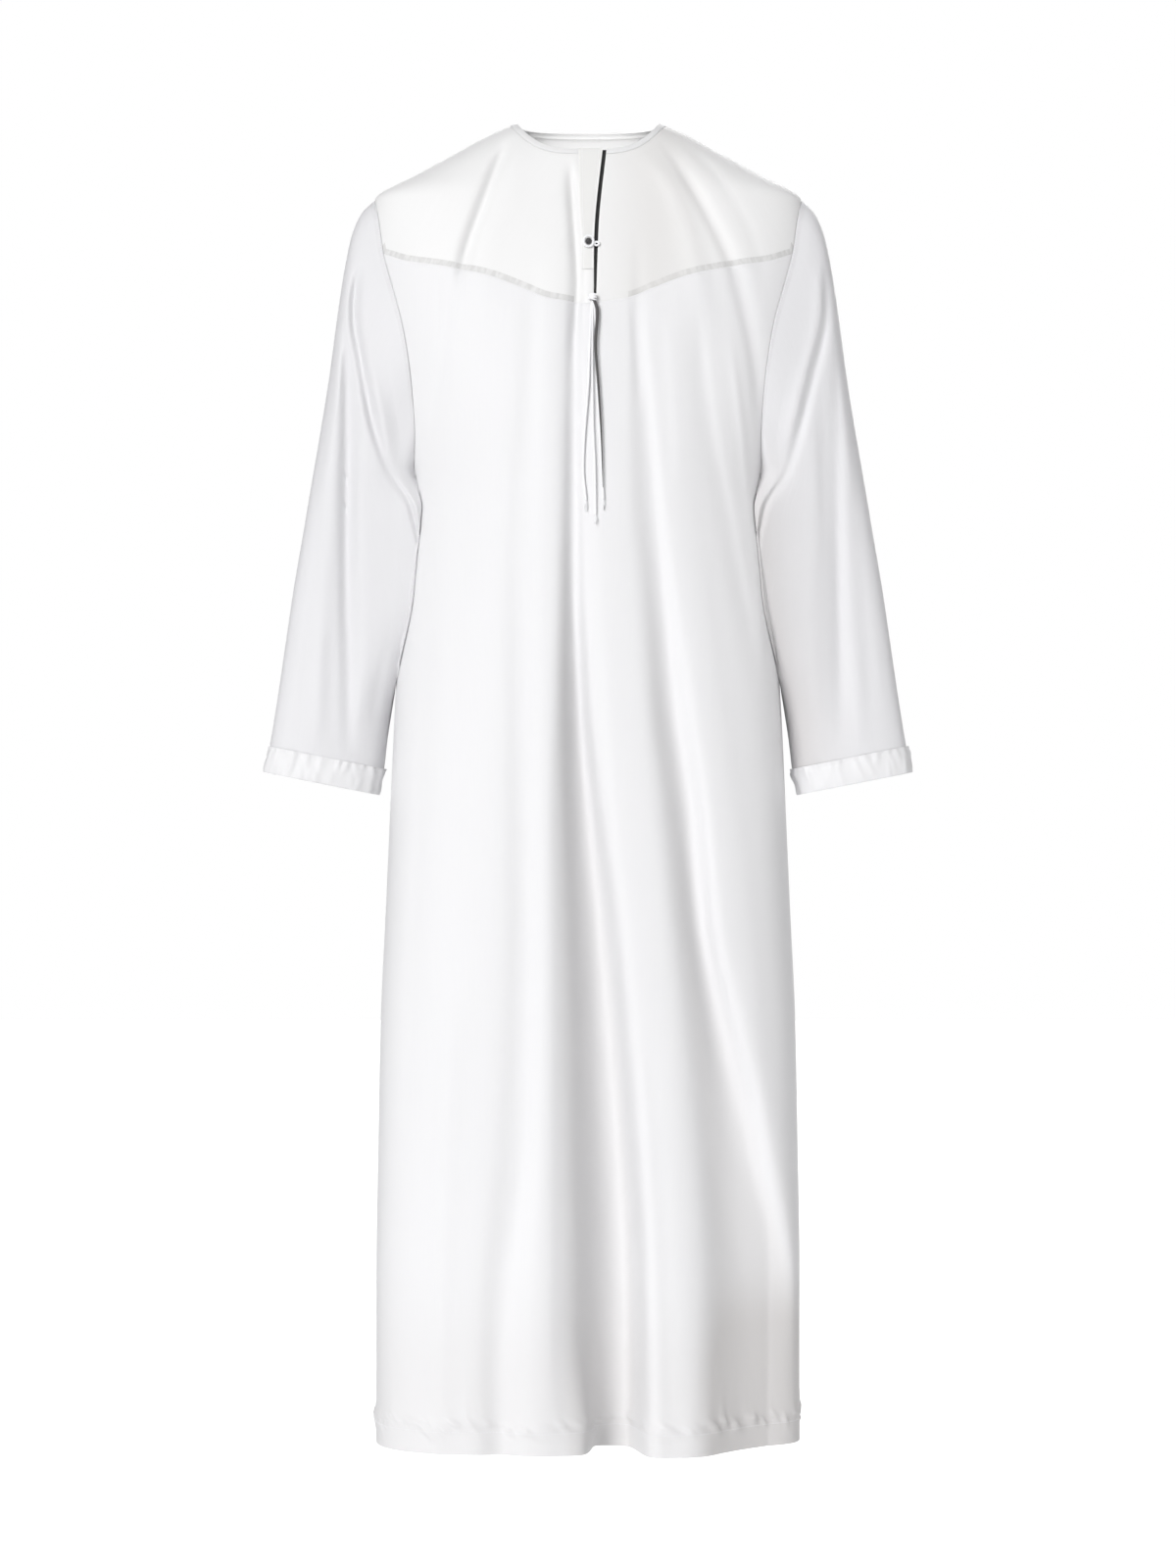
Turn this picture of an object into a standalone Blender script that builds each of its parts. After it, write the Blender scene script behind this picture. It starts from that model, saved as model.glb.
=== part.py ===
"""A long white robe without a collar, hollow, in the pose of a wearer.

Metres, +Z up. The front faces -Y and the wearer's left is +X. The origin is midway between the two
neck points, where the shoulders carry the robe, so the cloth hangs below it.

The robe is one net of points, cut into panels. Each panel is a closed wall whose outer side is its
part of the net, and the panels keep a narrow gap along their seams.
"""

import math
from collections import namedtuple

import bmesh
import bpy
from mathutils import Vector

# Cloth
WALL = 0.0016
SEAM_GAP = 0.0003
STRIP_WALL = 0.0012
STRAIGHT_SEAM = 0.97
SMOOTH_DEGREES = 50

# Heights
NECK_DROP = 0.0352
UNDERARM_Z = -0.402
UNDERARM_DIP = 0.028
HEM_Z = -1.430
BACK_YOKE_Z = -0.150

# Neck, shoulder and slit
NECK_HALF_WIDTH = 0.0787
NECK_SQUARENESS = 3.6
BINDING_WIDTH = 0.006
SHOULDER_TIP_X = 0.2327
SHOULDER_TIP_Z = -0.0824

# Counts of net cells
SEAM_COLUMNS = 15
NECK_SEAM_PART = 0.76
YOKE_ARMHOLE_CELLS = 5
PANEL_ARMHOLE_CELLS = 7
UNDERARM_CROWDING = 1.3
ARMHOLE_PULL = 1.3
YOKE_RINGS = (0.22, 0.40, 0.58, 0.79, 1.0)
LOWER_ROWS = 14
STRIP_RINGS = 5
YOKE_LAST_RING = len(YOKE_RINGS) + 1
SECTION_SAMPLES = 90
ARMHOLE_STEPS = 16
NECK_STEPS = 120

# Horizontal sections of the body, from the neck points to the hem. A squareness of 2 is an ellipse.
Section = namedtuple("Section", "z half_width front_depth back_depth squareness")
SECTIONS = (
    Section(0.000, 0.0787, 0.045, 0.055, 2.40),
    Section(-0.0128, 0.1086, 0.053, 0.062, 2.40),
    Section(-0.0342, 0.1480, 0.064, 0.071, 2.40),
    Section(-0.0556, 0.1870, 0.072, 0.078, 2.40),
    Section(-0.0824, 0.2327, 0.080, 0.085, 2.40),
    Section(-0.1050, 0.2362, 0.087, 0.091, 2.40),
    Section(-0.1440, 0.2370, 0.098, 0.099, 2.40),
    Section(-0.2000, 0.2325, 0.111, 0.107, 2.40),
    Section(-0.2600, 0.2230, 0.121, 0.113, 2.40),
    Section(-0.3300, 0.2080, 0.128, 0.117, 2.40),
    Section(-0.4020, 0.1935, 0.131, 0.119, 2.40),
    Section(-0.4500, 0.1955, 0.132, 0.120, 2.45),
    Section(-0.5050, 0.2000, 0.133, 0.120, 2.50),
    Section(-0.5690, 0.2060, 0.134, 0.121, 2.55),
    Section(-0.6600, 0.2115, 0.135, 0.123, 2.65),
    Section(-0.7350, 0.2148, 0.135, 0.125, 2.80),
    Section(-0.8500, 0.2197, 0.136, 0.128, 2.95),
    Section(-0.9800, 0.2255, 0.137, 0.132, 3.10),
    Section(-1.1000, 0.2278, 0.138, 0.136, 3.20),
    Section(-1.2500, 0.2300, 0.139, 0.141, 3.30),
    Section(-1.4300, 0.2300, 0.140, 0.146, 3.40),
)

# Armhole edges as seen from the front and from the back, shoulder tip to underarm.
Edge = namedtuple("Edge", "x z")
FRONT_ARMHOLE = (
    Edge(0.2327, -0.0824),
    Edge(0.2275, -0.105),
    Edge(0.2210, -0.146),
    Edge(0.2085, -0.191),
    Edge(0.1987, -0.229),
    Edge(0.1900, -0.287),
    Edge(0.1862, -0.345),
    Edge(0.1885, -0.385),
    Edge(0.1935, -0.402),
)
BACK_ARMHOLE = (
    Edge(0.2327, -0.0824),
    Edge(0.2300, -0.105),
    Edge(0.2260, -0.150),
    Edge(0.2160, -0.200),
    Edge(0.2060, -0.250),
    Edge(0.1985, -0.300),
    Edge(0.1930, -0.350),
    Edge(0.1912, -0.385),
    Edge(0.1935, -0.402),
)
YOKE_CORNER = 2

# Lower edge of the front yoke, from the middle to the armhole: a shallow V.
YOKE_SEAM = (
    Edge(0.000, -0.2070),
    Edge(0.042, -0.2005),
    Edge(0.068, -0.1900),
    Edge(0.104, -0.1760),
    Edge(0.135, -0.1680),
    Edge(0.160, -0.1625),
    Edge(0.195, -0.1560),
    Edge(0.221, -0.1460),
)

# The slit: its middle line and half its width.
SlitRow = namedtuple("SlitRow", "z x half_gap")
SLIT = (
    SlitRow(-0.030, 0.0184, 0.0021),
    SlitRow(-0.130, 0.0089, 0.0021),
    SlitRow(-0.207, 0.0073, 0.0012),
)
STRIP_TOP_WIDTH = 0.031
STRIP_LOW_WIDTH = 0.012
STRIP_END_Z = -0.136

# Folds: where each one lies at five heights, its half width and its depth (ridges are positive).
FOLD_HEIGHTS = (-0.21, -0.42, -0.75, -1.10, -1.43)
Fold = namedtuple("Fold", "x width depth")
FRONT_FOLDS = (
    Fold((-0.018, -0.021, -0.018, -0.001, 0.016), (0.008, 0.010, 0.013, 0.018, 0.021),
         (-0.003, -0.009, -0.022, -0.045, -0.064)),
    Fold((0.010, 0.018, 0.040, 0.066, 0.088), (0.016, 0.020, 0.024, 0.028, 0.032),
         (0.000, 0.004, 0.008, 0.014, 0.020)),
    Fold((0.042, 0.058, 0.089, 0.127, 0.150), (0.008, 0.011, 0.015, 0.018, 0.020),
         (-0.003, -0.006, -0.011, -0.016, -0.012)),
    Fold((0.085, 0.100, 0.138, 0.168, 0.188), (0.012, 0.014, 0.017, 0.018, 0.018),
         (0.000, 0.002, 0.005, 0.008, 0.008)),
    Fold((-0.056, -0.068, -0.086, -0.077, -0.118), (0.010, 0.012, 0.015, 0.020, 0.024),
         (-0.001, -0.003, -0.005, -0.008, -0.016)),
    Fold((-0.035, -0.044, -0.046, -0.040, -0.052), (0.010, 0.012, 0.016, 0.022, 0.026),
         (0.001, 0.003, 0.005, 0.006, 0.006)),
)
BACK_FOLDS = (
    Fold((-0.004, -0.006, -0.012, -0.004, 0.006), (0.016, 0.020, 0.024, 0.028, 0.032),
         (0.000, 0.003, 0.007, 0.012, 0.016)),
    Fold((0.040, 0.048, 0.058, 0.064, 0.072), (0.012, 0.014, 0.018, 0.022, 0.024),
         (-0.001, -0.006, -0.014, -0.026, -0.038)),
    Fold((-0.046, -0.054, -0.072, -0.078, -0.082), (0.012, 0.014, 0.017, 0.020, 0.022),
         (-0.001, -0.005, -0.012, -0.022, -0.030)),
    Fold((0.086, 0.098, 0.110, 0.128, 0.140), (0.014, 0.016, 0.020, 0.024, 0.026),
         (0.000, 0.002, 0.006, 0.010, 0.014)),
    Fold((-0.098, -0.108, -0.128, -0.142, -0.150), (0.014, 0.016, 0.020, 0.022, 0.024),
         (0.000, 0.002, 0.004, 0.008, 0.010)),
)
FOLD_SIDE_FADE = 0.16
FOLD_TOP_Z = -0.12
FOLD_TOP_FADE = 0.12

# Sleeve: its outer and inner lines from the armhole to the cuff's seam, and half its depth.
SleeveRow = namedtuple("SleeveRow", "outer_x outer_z inner_x inner_z half_depth")
SLEEVE_ROWS = (
    SleeveRow(0.2327, -0.0824, 0.1935, -0.4020, 0.0700),
    SleeveRow(0.2462, -0.0955, 0.1972, -0.4180, 0.0690),
    SleeveRow(0.2572, -0.1200, 0.1996, -0.4350, 0.0675),
    SleeveRow(0.2655, -0.1600, 0.2014, -0.4540, 0.0655),
    SleeveRow(0.2732, -0.2120, 0.2032, -0.4750, 0.0630),
    SleeveRow(0.2812, -0.2720, 0.2052, -0.4980, 0.0600),
    SleeveRow(0.2908, -0.3320, 0.2076, -0.5240, 0.0570),
    SleeveRow(0.3012, -0.3920, 0.2102, -0.5520, 0.0540),
    SleeveRow(0.3110, -0.4500, 0.2130, -0.5800, 0.0510),
    SleeveRow(0.3205, -0.5050, 0.2158, -0.6100, 0.0485),
    SleeveRow(0.3290, -0.5620, 0.2185, -0.6400, 0.0460),
    SleeveRow(0.3375, -0.6200, 0.2210, -0.6710, 0.0440),
    SleeveRow(0.3470, -0.6778, 0.2229, -0.7024, 0.0420),
)
CUFF_ROWS = (
    SleeveRow(0.3500, -0.6925, 0.2259, -0.7171, 0.0422),
    SleeveRow(0.3530, -0.7062, 0.2286, -0.7308, 0.0424),
)
ARMHOLE_REACH = 5

# Sleeve folds: angle round the sleeve from its outer line over the front, in degrees.
SleeveFold = namedtuple("SleeveFold", "top_angle cuff_angle half_width first_row last_row depth")
SLEEVE_FOLDS = (
    SleeveFold(62, 92, 16, 3, 12, -0.0050),
    SleeveFold(100, 128, 18, 2, 11, 0.0035),
    SleeveFold(36, 54, 14, 2, 9, 0.0030),
    SleeveFold(250, 262, 18, 3, 12, -0.0045),
    SleeveFold(292, 300, 18, 2, 11, 0.0030),
)

# Loop, button and tassel
LOOP_X = 0.0006
LOOP_Z = -0.1375
LOOP_RADIUS = 0.0044
LOOP_STRETCH = 1.15
LOOP_SEGMENTS = 18
LOOP_SIDES = 6
LOOP_CORD = 0.0010
LOOP_LIFT = 0.0022
BUTTON_RADIUS = 0.0026
BUTTON_SEGMENTS = 14
BUTTON_RINGS = 8
KNOT_X = 0.0048
KNOT_Z = -0.2010
KNOT_RADIUS = 0.0042
CORD_RADIUS = 0.0012
CORD_LIFT = 0.0034
CORD_STEPS = 10
CORD_SIDES = 4
CORD_ROOT = 0.3
Cord = namedtuple("Cord", "name x z")
CORDS = (
    Cord("outer", (0.0036, 0.0005, -0.0040, -0.0052, -0.0022), (-0.200, -0.290, -0.352, -0.382, -0.418)),
    Cord("middle", (0.0050, 0.0046, 0.0052, 0.0072, 0.0078), (-0.200, -0.280, -0.335, -0.385, -0.433)),
    Cord("inner", (0.0064, 0.0088, 0.0100, 0.0130, 0.0160), (-0.200, -0.250, -0.300, -0.352, -0.417)),
)

# Colours: red, green and blue, with roughness.
Finish = namedtuple("Finish", "colour roughness")
FINISHES = {
    "cloth": Finish((0.93, 0.93, 0.95), 0.62),
    "doubled": Finish((0.92, 0.92, 0.92), 0.66),
    "trim": Finish((0.88, 0.87, 0.85), 0.70),
    "dark": Finish((0.10, 0.10, 0.10), 0.75),
}


def blend(a, b, t):
    """The value a part t of the way from a to b."""
    return a + (b - a) * t


def curve_value(places, values, place):
    """A smooth curve through the values, which stand at rising or falling places."""
    sign = 1.0 if places[-1] > places[0] else -1.0
    keys = [sign * p for p in places]
    key = min(max(sign * place, keys[0]), keys[-1])
    last = len(keys) - 1
    i = 0
    while i < last - 1 and key > keys[i + 1]:
        i += 1
    step = keys[i + 1] - keys[i]
    t = (key - keys[i]) / step
    slopes = [(values[j + 1] - values[j]) / (keys[j + 1] - keys[j]) for j in range(last)]

    def tangent(j):
        if j == 0:
            return slopes[0]
        if j == last:
            return slopes[-1]
        if slopes[j - 1] * slopes[j] <= 0.0:
            return 0.0
        return 2.0 * slopes[j - 1] * slopes[j] / (slopes[j - 1] + slopes[j])

    a = (1 + 2 * t) * (1 - t) ** 2
    b = t * (1 - t) ** 2
    c = t * t * (3 - 2 * t)
    d = t * t * (t - 1)
    return a * values[i] + b * step * tangent(i) + c * values[i + 1] + d * step * tangent(i + 1)


def section_size(field, z):
    """One size of the body's section at a height."""
    return curve_value([row.z for row in SECTIONS], [getattr(row, field) for row in SECTIONS], z)


def fold_depth(folds, x, z):
    """How far the folds push the cloth outward at one place."""
    total = 0.0
    for fold in folds:
        middle = curve_value(FOLD_HEIGHTS, fold.x, z)
        width = curve_value(FOLD_HEIGHTS, fold.width, z)
        depth = curve_value(FOLD_HEIGHTS, fold.depth, z)
        total += depth * math.exp(-(((x - middle) / width) ** 2))
    top_fade = min(1.0, max(0.0, (FOLD_TOP_Z - z) / FOLD_TOP_FADE))
    return total * top_fade


def cloth_point(x, z, front):
    """The point of the body's cloth at a width and a height, on the front or on the back."""
    half_width = section_size("half_width", z)
    depth = section_size("front_depth" if front else "back_depth", z)
    squareness = section_size("squareness", z)
    share = min(1.0, abs(x) / half_width)
    y = depth * (1.0 - share ** squareness) ** (1.0 / squareness)
    edge_fade = min(1.0, (1.0 - share) / FOLD_SIDE_FADE)
    y += edge_fade * fold_depth(FRONT_FOLDS if front else BACK_FOLDS, x, z)
    return Vector((x, -y if front else y, z))


def quarter_widths(z, front, shares):
    """Widths that part the section's quarter, from its middle to its side, by the given shares."""
    half_width = section_size("half_width", z)
    depth = section_size("front_depth" if front else "back_depth", z)
    power = 2.0 / section_size("squareness", z)
    samples = []
    for i in range(SECTION_SAMPLES + 1):
        angle = 0.5 * math.pi * i / SECTION_SAMPLES
        samples.append(Vector((half_width * math.sin(angle) ** power, depth * math.cos(angle) ** power, 0)))
    return [p.x for p in spaced(samples, shares)]


def spaced(line, shares):
    """Points along a line of points, at the given shares of its length."""
    lengths = [0.0]
    for a, b in zip(line, line[1:]):
        lengths.append(lengths[-1] + (b - a).length)
    result = []
    for share in shares:
        target = share * lengths[-1]
        i = 0
        while i < len(line) - 2 and lengths[i + 1] < target:
            i += 1
        part = (target - lengths[i]) / max(1e-9, lengths[i + 1] - lengths[i])
        result.append(line[i].lerp(line[i + 1], min(1.0, part)))
    return result


def even_shares(count):
    """Shares from 0 to 1 in equal steps."""
    return [i / count for i in range(count + 1)]


def slit_edge(z, side):
    """The x of the slit's edge on one side at a height."""
    heights = [row.z for row in SLIT]
    middle = curve_value(heights, [row.x for row in SLIT], z)
    half_gap = curve_value(heights, [row.half_gap for row in SLIT], z)
    return middle + side * half_gap


def strip_width(z):
    """Width of the tapering strip beside the slit."""
    part = min(1.0, max(0.0, z / STRIP_END_Z))
    return blend(STRIP_TOP_WIDTH, STRIP_LOW_WIDTH, part)


class Net:
    """Shared points and the four-sided cells between them, each cell belonging to one panel."""

    def __init__(self):
        self.points = []
        self.cells = []

    def add(self, point):
        self.points.append(Vector(point))
        return len(self.points) - 1

    def sew(self, panel, rows, closed=False):
        """Cells between rows of point numbers. Rows run so that the cells face outward."""
        for upper, lower in zip(rows, rows[1:]):
            count = len(upper) if closed else len(upper) - 1
            for j in range(count):
                k = (j + 1) % len(upper)
                self.cells.append((panel, (upper[j], lower[j], lower[k], upper[k])))

    def cell_normal(self, cell):
        """The unit outward normal of one cell."""
        a, b, c, d = (self.points[i] for i in cell)
        return (c - a).cross(d - b).normalized()

    def normals(self):
        """The outward direction at each point, at an armhole halfway between body and sleeve."""
        sides = [{} for _ in self.points]
        for panel, cell in self.cells:
            normal = self.cell_normal(cell)
            side = panel.startswith(("sleeve", "cuff"))
            for i in cell:
                sides[i][side] = sides[i].get(side, Vector()) + normal
        return [sum((n.normalized() for n in sums.values()), Vector()).normalized() for sums in sides]


def mirrored(point):
    """The same point on the robe's other side."""
    return Vector((-point.x, point.y, point.z))


def armhole_line(front):
    """The armhole's edge on the wearer's left, as yoke points and panel points from the top."""
    edge = FRONT_ARMHOLE if front else BACK_ARMHOLE
    xs = [e.x for e in edge]
    places = list(range(len(edge)))
    zs = [e.z for e in edge]

    def stretch(first, last):
        line = []
        for i in range(first * ARMHOLE_STEPS, last * ARMHOLE_STEPS + 1):
            place = i / ARMHOLE_STEPS
            line.append(cloth_point(curve_value(places, xs, place), curve_value(places, zs, place), front))
        return line

    upper = spaced(stretch(0, YOKE_CORNER), even_shares(YOKE_ARMHOLE_CELLS))
    closer = [1.0 - (1.0 - share) ** UNDERARM_CROWDING for share in even_shares(PANEL_ARMHOLE_CELLS)]
    lower = spaced(stretch(YOKE_CORNER, len(edge) - 1), closer)
    upper[0] = Vector((SHOULDER_TIP_X, 0, SHOULDER_TIP_Z))
    lower[-1] = Vector((lower[-1].x, 0, UNDERARM_Z))
    return upper, lower


def shoulder_point(part):
    """A point on the shoulder line, from the neck point to the shoulder tip."""
    z = curve_value((0.0, 1.0), (0.0, SHOULDER_TIP_Z), part)
    return Vector((section_size("half_width", z), 0, z))


def neck_z(x, front):
    """Height of the neck's edge."""
    if not front:
        return 0.0
    return -NECK_DROP * (1.0 - (abs(x) / NECK_HALF_WIDTH) ** NECK_SQUARENESS)


def neck_line(start_x, front, shares):
    """Points on the neck's edge from near the middle to the neck point, on the side of start_x."""
    side = 1.0 if start_x >= 0 or not front else -1.0
    line = []
    for i in range(NECK_STEPS + 1):
        x = blend(start_x, side * NECK_HALF_WIDTH, 1.0 - (1.0 - i / NECK_STEPS) ** 2)
        line.append(cloth_point(x, neck_z(x, front), front))
    return spaced(line, shares)


def yoke_grid(net, front, side, shared):
    """Point numbers of half a yoke: rings from the neck outward, each from the middle to the shoulder."""
    seam_end_x = FRONT_ARMHOLE[YOKE_CORNER].x if front else BACK_ARMHOLE[YOKE_CORNER].x
    low_x = side * slit_edge(YOKE_SEAM[0].z, side) if front else 0.0
    first_x = slit_edge(-NECK_DROP, side) if front else 0.0
    outer = []
    for i in range(SEAM_COLUMNS):
        part = i / SEAM_COLUMNS
        x = blend(low_x, seam_end_x, part)
        if front and side < 0 and i == 1:
            x = low_x + STRIP_LOW_WIDTH
        z = curve_value([e.x for e in YOKE_SEAM], [e.z for e in YOKE_SEAM], abs(x)) if front else BACK_YOKE_Z
        outer.append((side * x, z))
    upper, _ = armhole_line(front)
    for point in reversed(upper):
        outer.append((side * point.x, point.z))
    count = len(outer) - 1
    shares = [NECK_SEAM_PART * i / SEAM_COLUMNS for i in range(SEAM_COLUMNS)]
    shares += [blend(NECK_SEAM_PART, 1.0, i / YOKE_ARMHOLE_CELLS) for i in range(YOKE_ARMHOLE_CELLS + 1)]
    neck = neck_line(first_x, front, shares)
    if front and side < 0:
        strip_x = slit_edge(-NECK_DROP, side) - STRIP_TOP_WIDTH
        neck[1] = cloth_point(strip_x, neck_z(strip_x, True), True)
        spread = neck_line(strip_x, True, [i / (count - 1) for i in range(count)])
        neck[2:] = spread[1:]
    elif not front and side < 0:
        neck = [mirrored(p) for p in neck]
    rings = []
    for k in range(YOKE_LAST_RING + 1):
        ring = []
        for i in range(count + 1):
            start = neck[i]
            x1, z1 = outer[i]
            reach = math.hypot(x1 - start.x, z1 - start.z)
            part = (0.0, BINDING_WIDTH / reach)[k] if k < 2 else YOKE_RINGS[k - 2]
            x = blend(start.x, x1, part)
            z = blend(start.z, z1, part)
            key = None
            if i == count:
                point = shoulder_point(part)
                point.x *= side
                key = ("shoulder", side, k)
            elif i == 0 and front:
                point = cloth_point(slit_edge(z, side), z, True)
            elif i == 0:
                point = cloth_point(0.0, z, False)
                key = ("back middle", 0, k)
            elif i == 1 and front and side < 0:
                point = cloth_point(slit_edge(z, side) - strip_width(z), z, True)
            else:
                point = cloth_point(x, z, front)
            if k == YOKE_LAST_RING and i >= SEAM_COLUMNS:
                key = ("armhole", side, front, YOKE_ARMHOLE_CELLS - (i - SEAM_COLUMNS))
                if i == count:
                    key = ("tip", side)
                    point = Vector((side * SHOULDER_TIP_X, 0, SHOULDER_TIP_Z))
            if key is None:
                ring.append(net.add(point))
            else:
                if key not in shared:
                    shared[key] = net.add(point)
                ring.append(shared[key])
        rings.append(ring)
    return rings


def panel_grid(net, front, yokes, shared):
    """Rows of point numbers of the front or back panel, each from the wearer's right to the left."""
    right, left = yokes
    seam_right = right[-1][:SEAM_COLUMNS + 1]
    seam_left = left[-1][:SEAM_COLUMNS + 1]
    top = list(reversed(seam_right)) + (seam_left if front else seam_left[1:])
    _, lower = armhole_line(front)
    if front:
        half = [(i + 0.5) / (SEAM_COLUMNS + 0.5) for i in range(SEAM_COLUMNS + 1)]
        shares = [-s for s in reversed(half)] + half
    else:
        half = even_shares(SEAM_COLUMNS)
        shares = [-s for s in reversed(half)] + half[1:]

    def body_place(share, part):
        """Width and height of a point below the armholes, a part of the way down to the hem."""
        start = UNDERARM_Z - UNDERARM_DIP * math.sqrt(1.0 - share * share)
        z = blend(start, HEM_Z, part)
        return math.copysign(quarter_widths(z, front, [abs(share)])[0], share), z

    rows = [top]
    last = len(top) - 1
    base = [body_place(share, 0.0) for share in shares]
    corner = net.points[top[-1]]
    for r in range(1, PANEL_ARMHOLE_CELLS + 1):
        edge = lower[r]
        edge_part = (edge.z - corner.z) / (UNDERARM_Z - corner.z)
        bend = edge.x - blend(corner.x, base[-1][0], edge_part)
        row = []
        for j in range(last + 1):
            u = j / last
            if j in (0, last):
                side = -1 if j == 0 else 1
                key = ("underarm", side) if r == PANEL_ARMHOLE_CELLS else ("armhole low", side, front, r)
                if key not in shared:
                    shared[key] = net.add((side * edge.x, edge.y, edge.z))
                row.append(shared[key])
                continue
            up = net.points[top[j]]
            part = blend(edge_part, r / PANEL_ARMHOLE_CELLS, 1.0 - abs(2 * u - 1) ** 3)
            pull = math.copysign(abs(2 * u - 1) ** ARMHOLE_PULL, 2 * u - 1)
            x = blend(up.x, base[j][0], part) + bend * pull
            row.append(net.add(cloth_point(x, blend(up.z, base[j][1], part), front)))
        rows.append(row)
    for r in range(1, LOWER_ROWS + 1):
        row = []
        for j in range(last + 1):
            if j in (0, last):
                side = -1 if j == 0 else 1
                key = ("side seam", side, r)
                if key not in shared:
                    z = blend(UNDERARM_Z, HEM_Z, r / LOWER_ROWS)
                    shared[key] = net.add((side * section_size("half_width", z), 0, z))
                row.append(shared[key])
            else:
                x, z = body_place(shares[j], r / LOWER_ROWS)
                row.append(net.add(cloth_point(x, z, front)))
        rows.append(row)
    return rows


def sleeve_fold_depth(angle, row):
    """How far the sleeve's folds push its cloth outward."""
    total = 0.0
    for fold in SLEEVE_FOLDS:
        part = (row - fold.first_row) / (fold.last_row - fold.first_row)
        if 0.0 < part < 1.0:
            middle = blend(fold.top_angle, fold.cuff_angle, part)
            strength = math.sin(math.pi * part)
            total += fold.depth * strength * math.exp(-(((angle - middle) / fold.half_width) ** 2))
    return total


def sleeve_ring(row, index, turns):
    """Points round the left sleeve, from its outer line over the front to its inner line and back."""
    outer = Vector((row.outer_x, 0, row.outer_z))
    inner = Vector((row.inner_x, 0, row.inner_z))
    middle = (outer + inner) / 2
    half = (outer - inner) / 2
    ring = []
    for turn in turns:
        extra = sleeve_fold_depth(math.degrees(turn) % 360.0, index)
        reach = half.length + extra
        point = middle + half.normalized() * math.cos(turn) * reach
        point.y -= math.sin(turn) * (row.half_depth + extra)
        ring.append(point)
    return ring


def sleeve_grid(net, side, loop):
    """Rings of point numbers from the armhole to the cuff's end."""
    edge = [net.points[i] if side > 0 else mirrored(net.points[i]) for i in loop]
    first = SLEEVE_ROWS[0]
    half = Vector((first.outer_x - first.inner_x, 0, first.outer_z - first.inner_z)) / 2
    middle = Vector((first.outer_x + first.inner_x, 0, first.outer_z + first.inner_z)) / 2
    turns = []
    for point in edge:
        along = (point - middle).dot(half) / half.length_squared
        turns.append(math.atan2(-point.y / first.half_depth, along))
    offsets = [p - q for p, q in zip(edge, sleeve_ring(first, 0, turns))]
    rings = [loop]
    for index, row in enumerate(SLEEVE_ROWS[1:] + CUFF_ROWS, 1):
        part = min(1.0, index / ARMHOLE_REACH)
        fade = 1.0 - part * part * (3 - 2 * part)
        ring = [p + o * fade for p, o in zip(sleeve_ring(row, index, turns), offsets)]
        rings.append([net.add(p if side > 0 else mirrored(p)) for p in ring])
    return rings


def outward_rows(rows, side):
    """Rows ordered so that their cells face outward on either side of the robe."""
    return rows if side > 0 else [list(reversed(row)) for row in rows]


def build_net():
    """The whole robe as one net, with the panels' cells."""
    net = Net()
    shared = {}
    yokes = {(front, side): yoke_grid(net, front, side, shared) for front in (True, False) for side in (-1, 1)}
    names = {-1: "right", 1: "left"}
    for side in (-1, 1):
        front_rows = outward_rows(yokes[True, side], side)
        net.sew("neck_binding", front_rows[:2])
        net.sew("front_yoke_" + names[side], front_rows[1:])
        back_rows = outward_rows(yokes[False, side], -side)
        net.sew("neck_binding", back_rows[:2])
        net.sew("back_yoke", back_rows[1:])
    front = panel_grid(net, True, (yokes[True, -1], yokes[True, 1]), shared)
    back = panel_grid(net, False, (yokes[False, -1], yokes[False, 1]), shared)
    net.sew("front_panel", front)
    net.sew("back_panel", [list(reversed(row)) for row in back])
    for side in (-1, 1):
        loop = [shared["tip", side]]
        for is_front in (True, False):
            line = [shared["armhole", side, is_front, i] for i in range(1, YOKE_ARMHOLE_CELLS + 1)]
            line += [shared["armhole low", side, is_front, i] for i in range(1, PANEL_ARMHOLE_CELLS)]
            loop += line + [shared["underarm", side]] if is_front else list(reversed(line))
        rings = sleeve_grid(net, side, loop)
        columns = [list(column) for column in zip(*rings)]
        columns.append(columns[0])
        if side < 0:
            columns.reverse()
        seam = len(SLEEVE_ROWS)
        net.sew("sleeve_" + names[side], [column[:seam] for column in columns])
        net.sew("cuff_" + names[side], [column[seam - 1:] for column in columns])
    return net, yokes


def edge_inset(points, cell, edge):
    """The direction in a cell's plane that leads from one of its edges inward."""
    a, b = points[edge[0]], points[edge[1]]
    middle = sum((points[i] for i in cell), Vector()) / len(cell)
    along = (b - a).normalized()
    inward = middle - a
    inward -= along * inward.dot(along)
    return inward.normalized()


def seam_neighbours(net):
    """For each edge of a cell, the cells that use it, with their panels."""
    users = {}
    for panel, cell in net.cells:
        for i in range(len(cell)):
            users.setdefault(frozenset((cell[i], cell[(i + 1) % len(cell)])), []).append((panel, cell))
    return users


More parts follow.
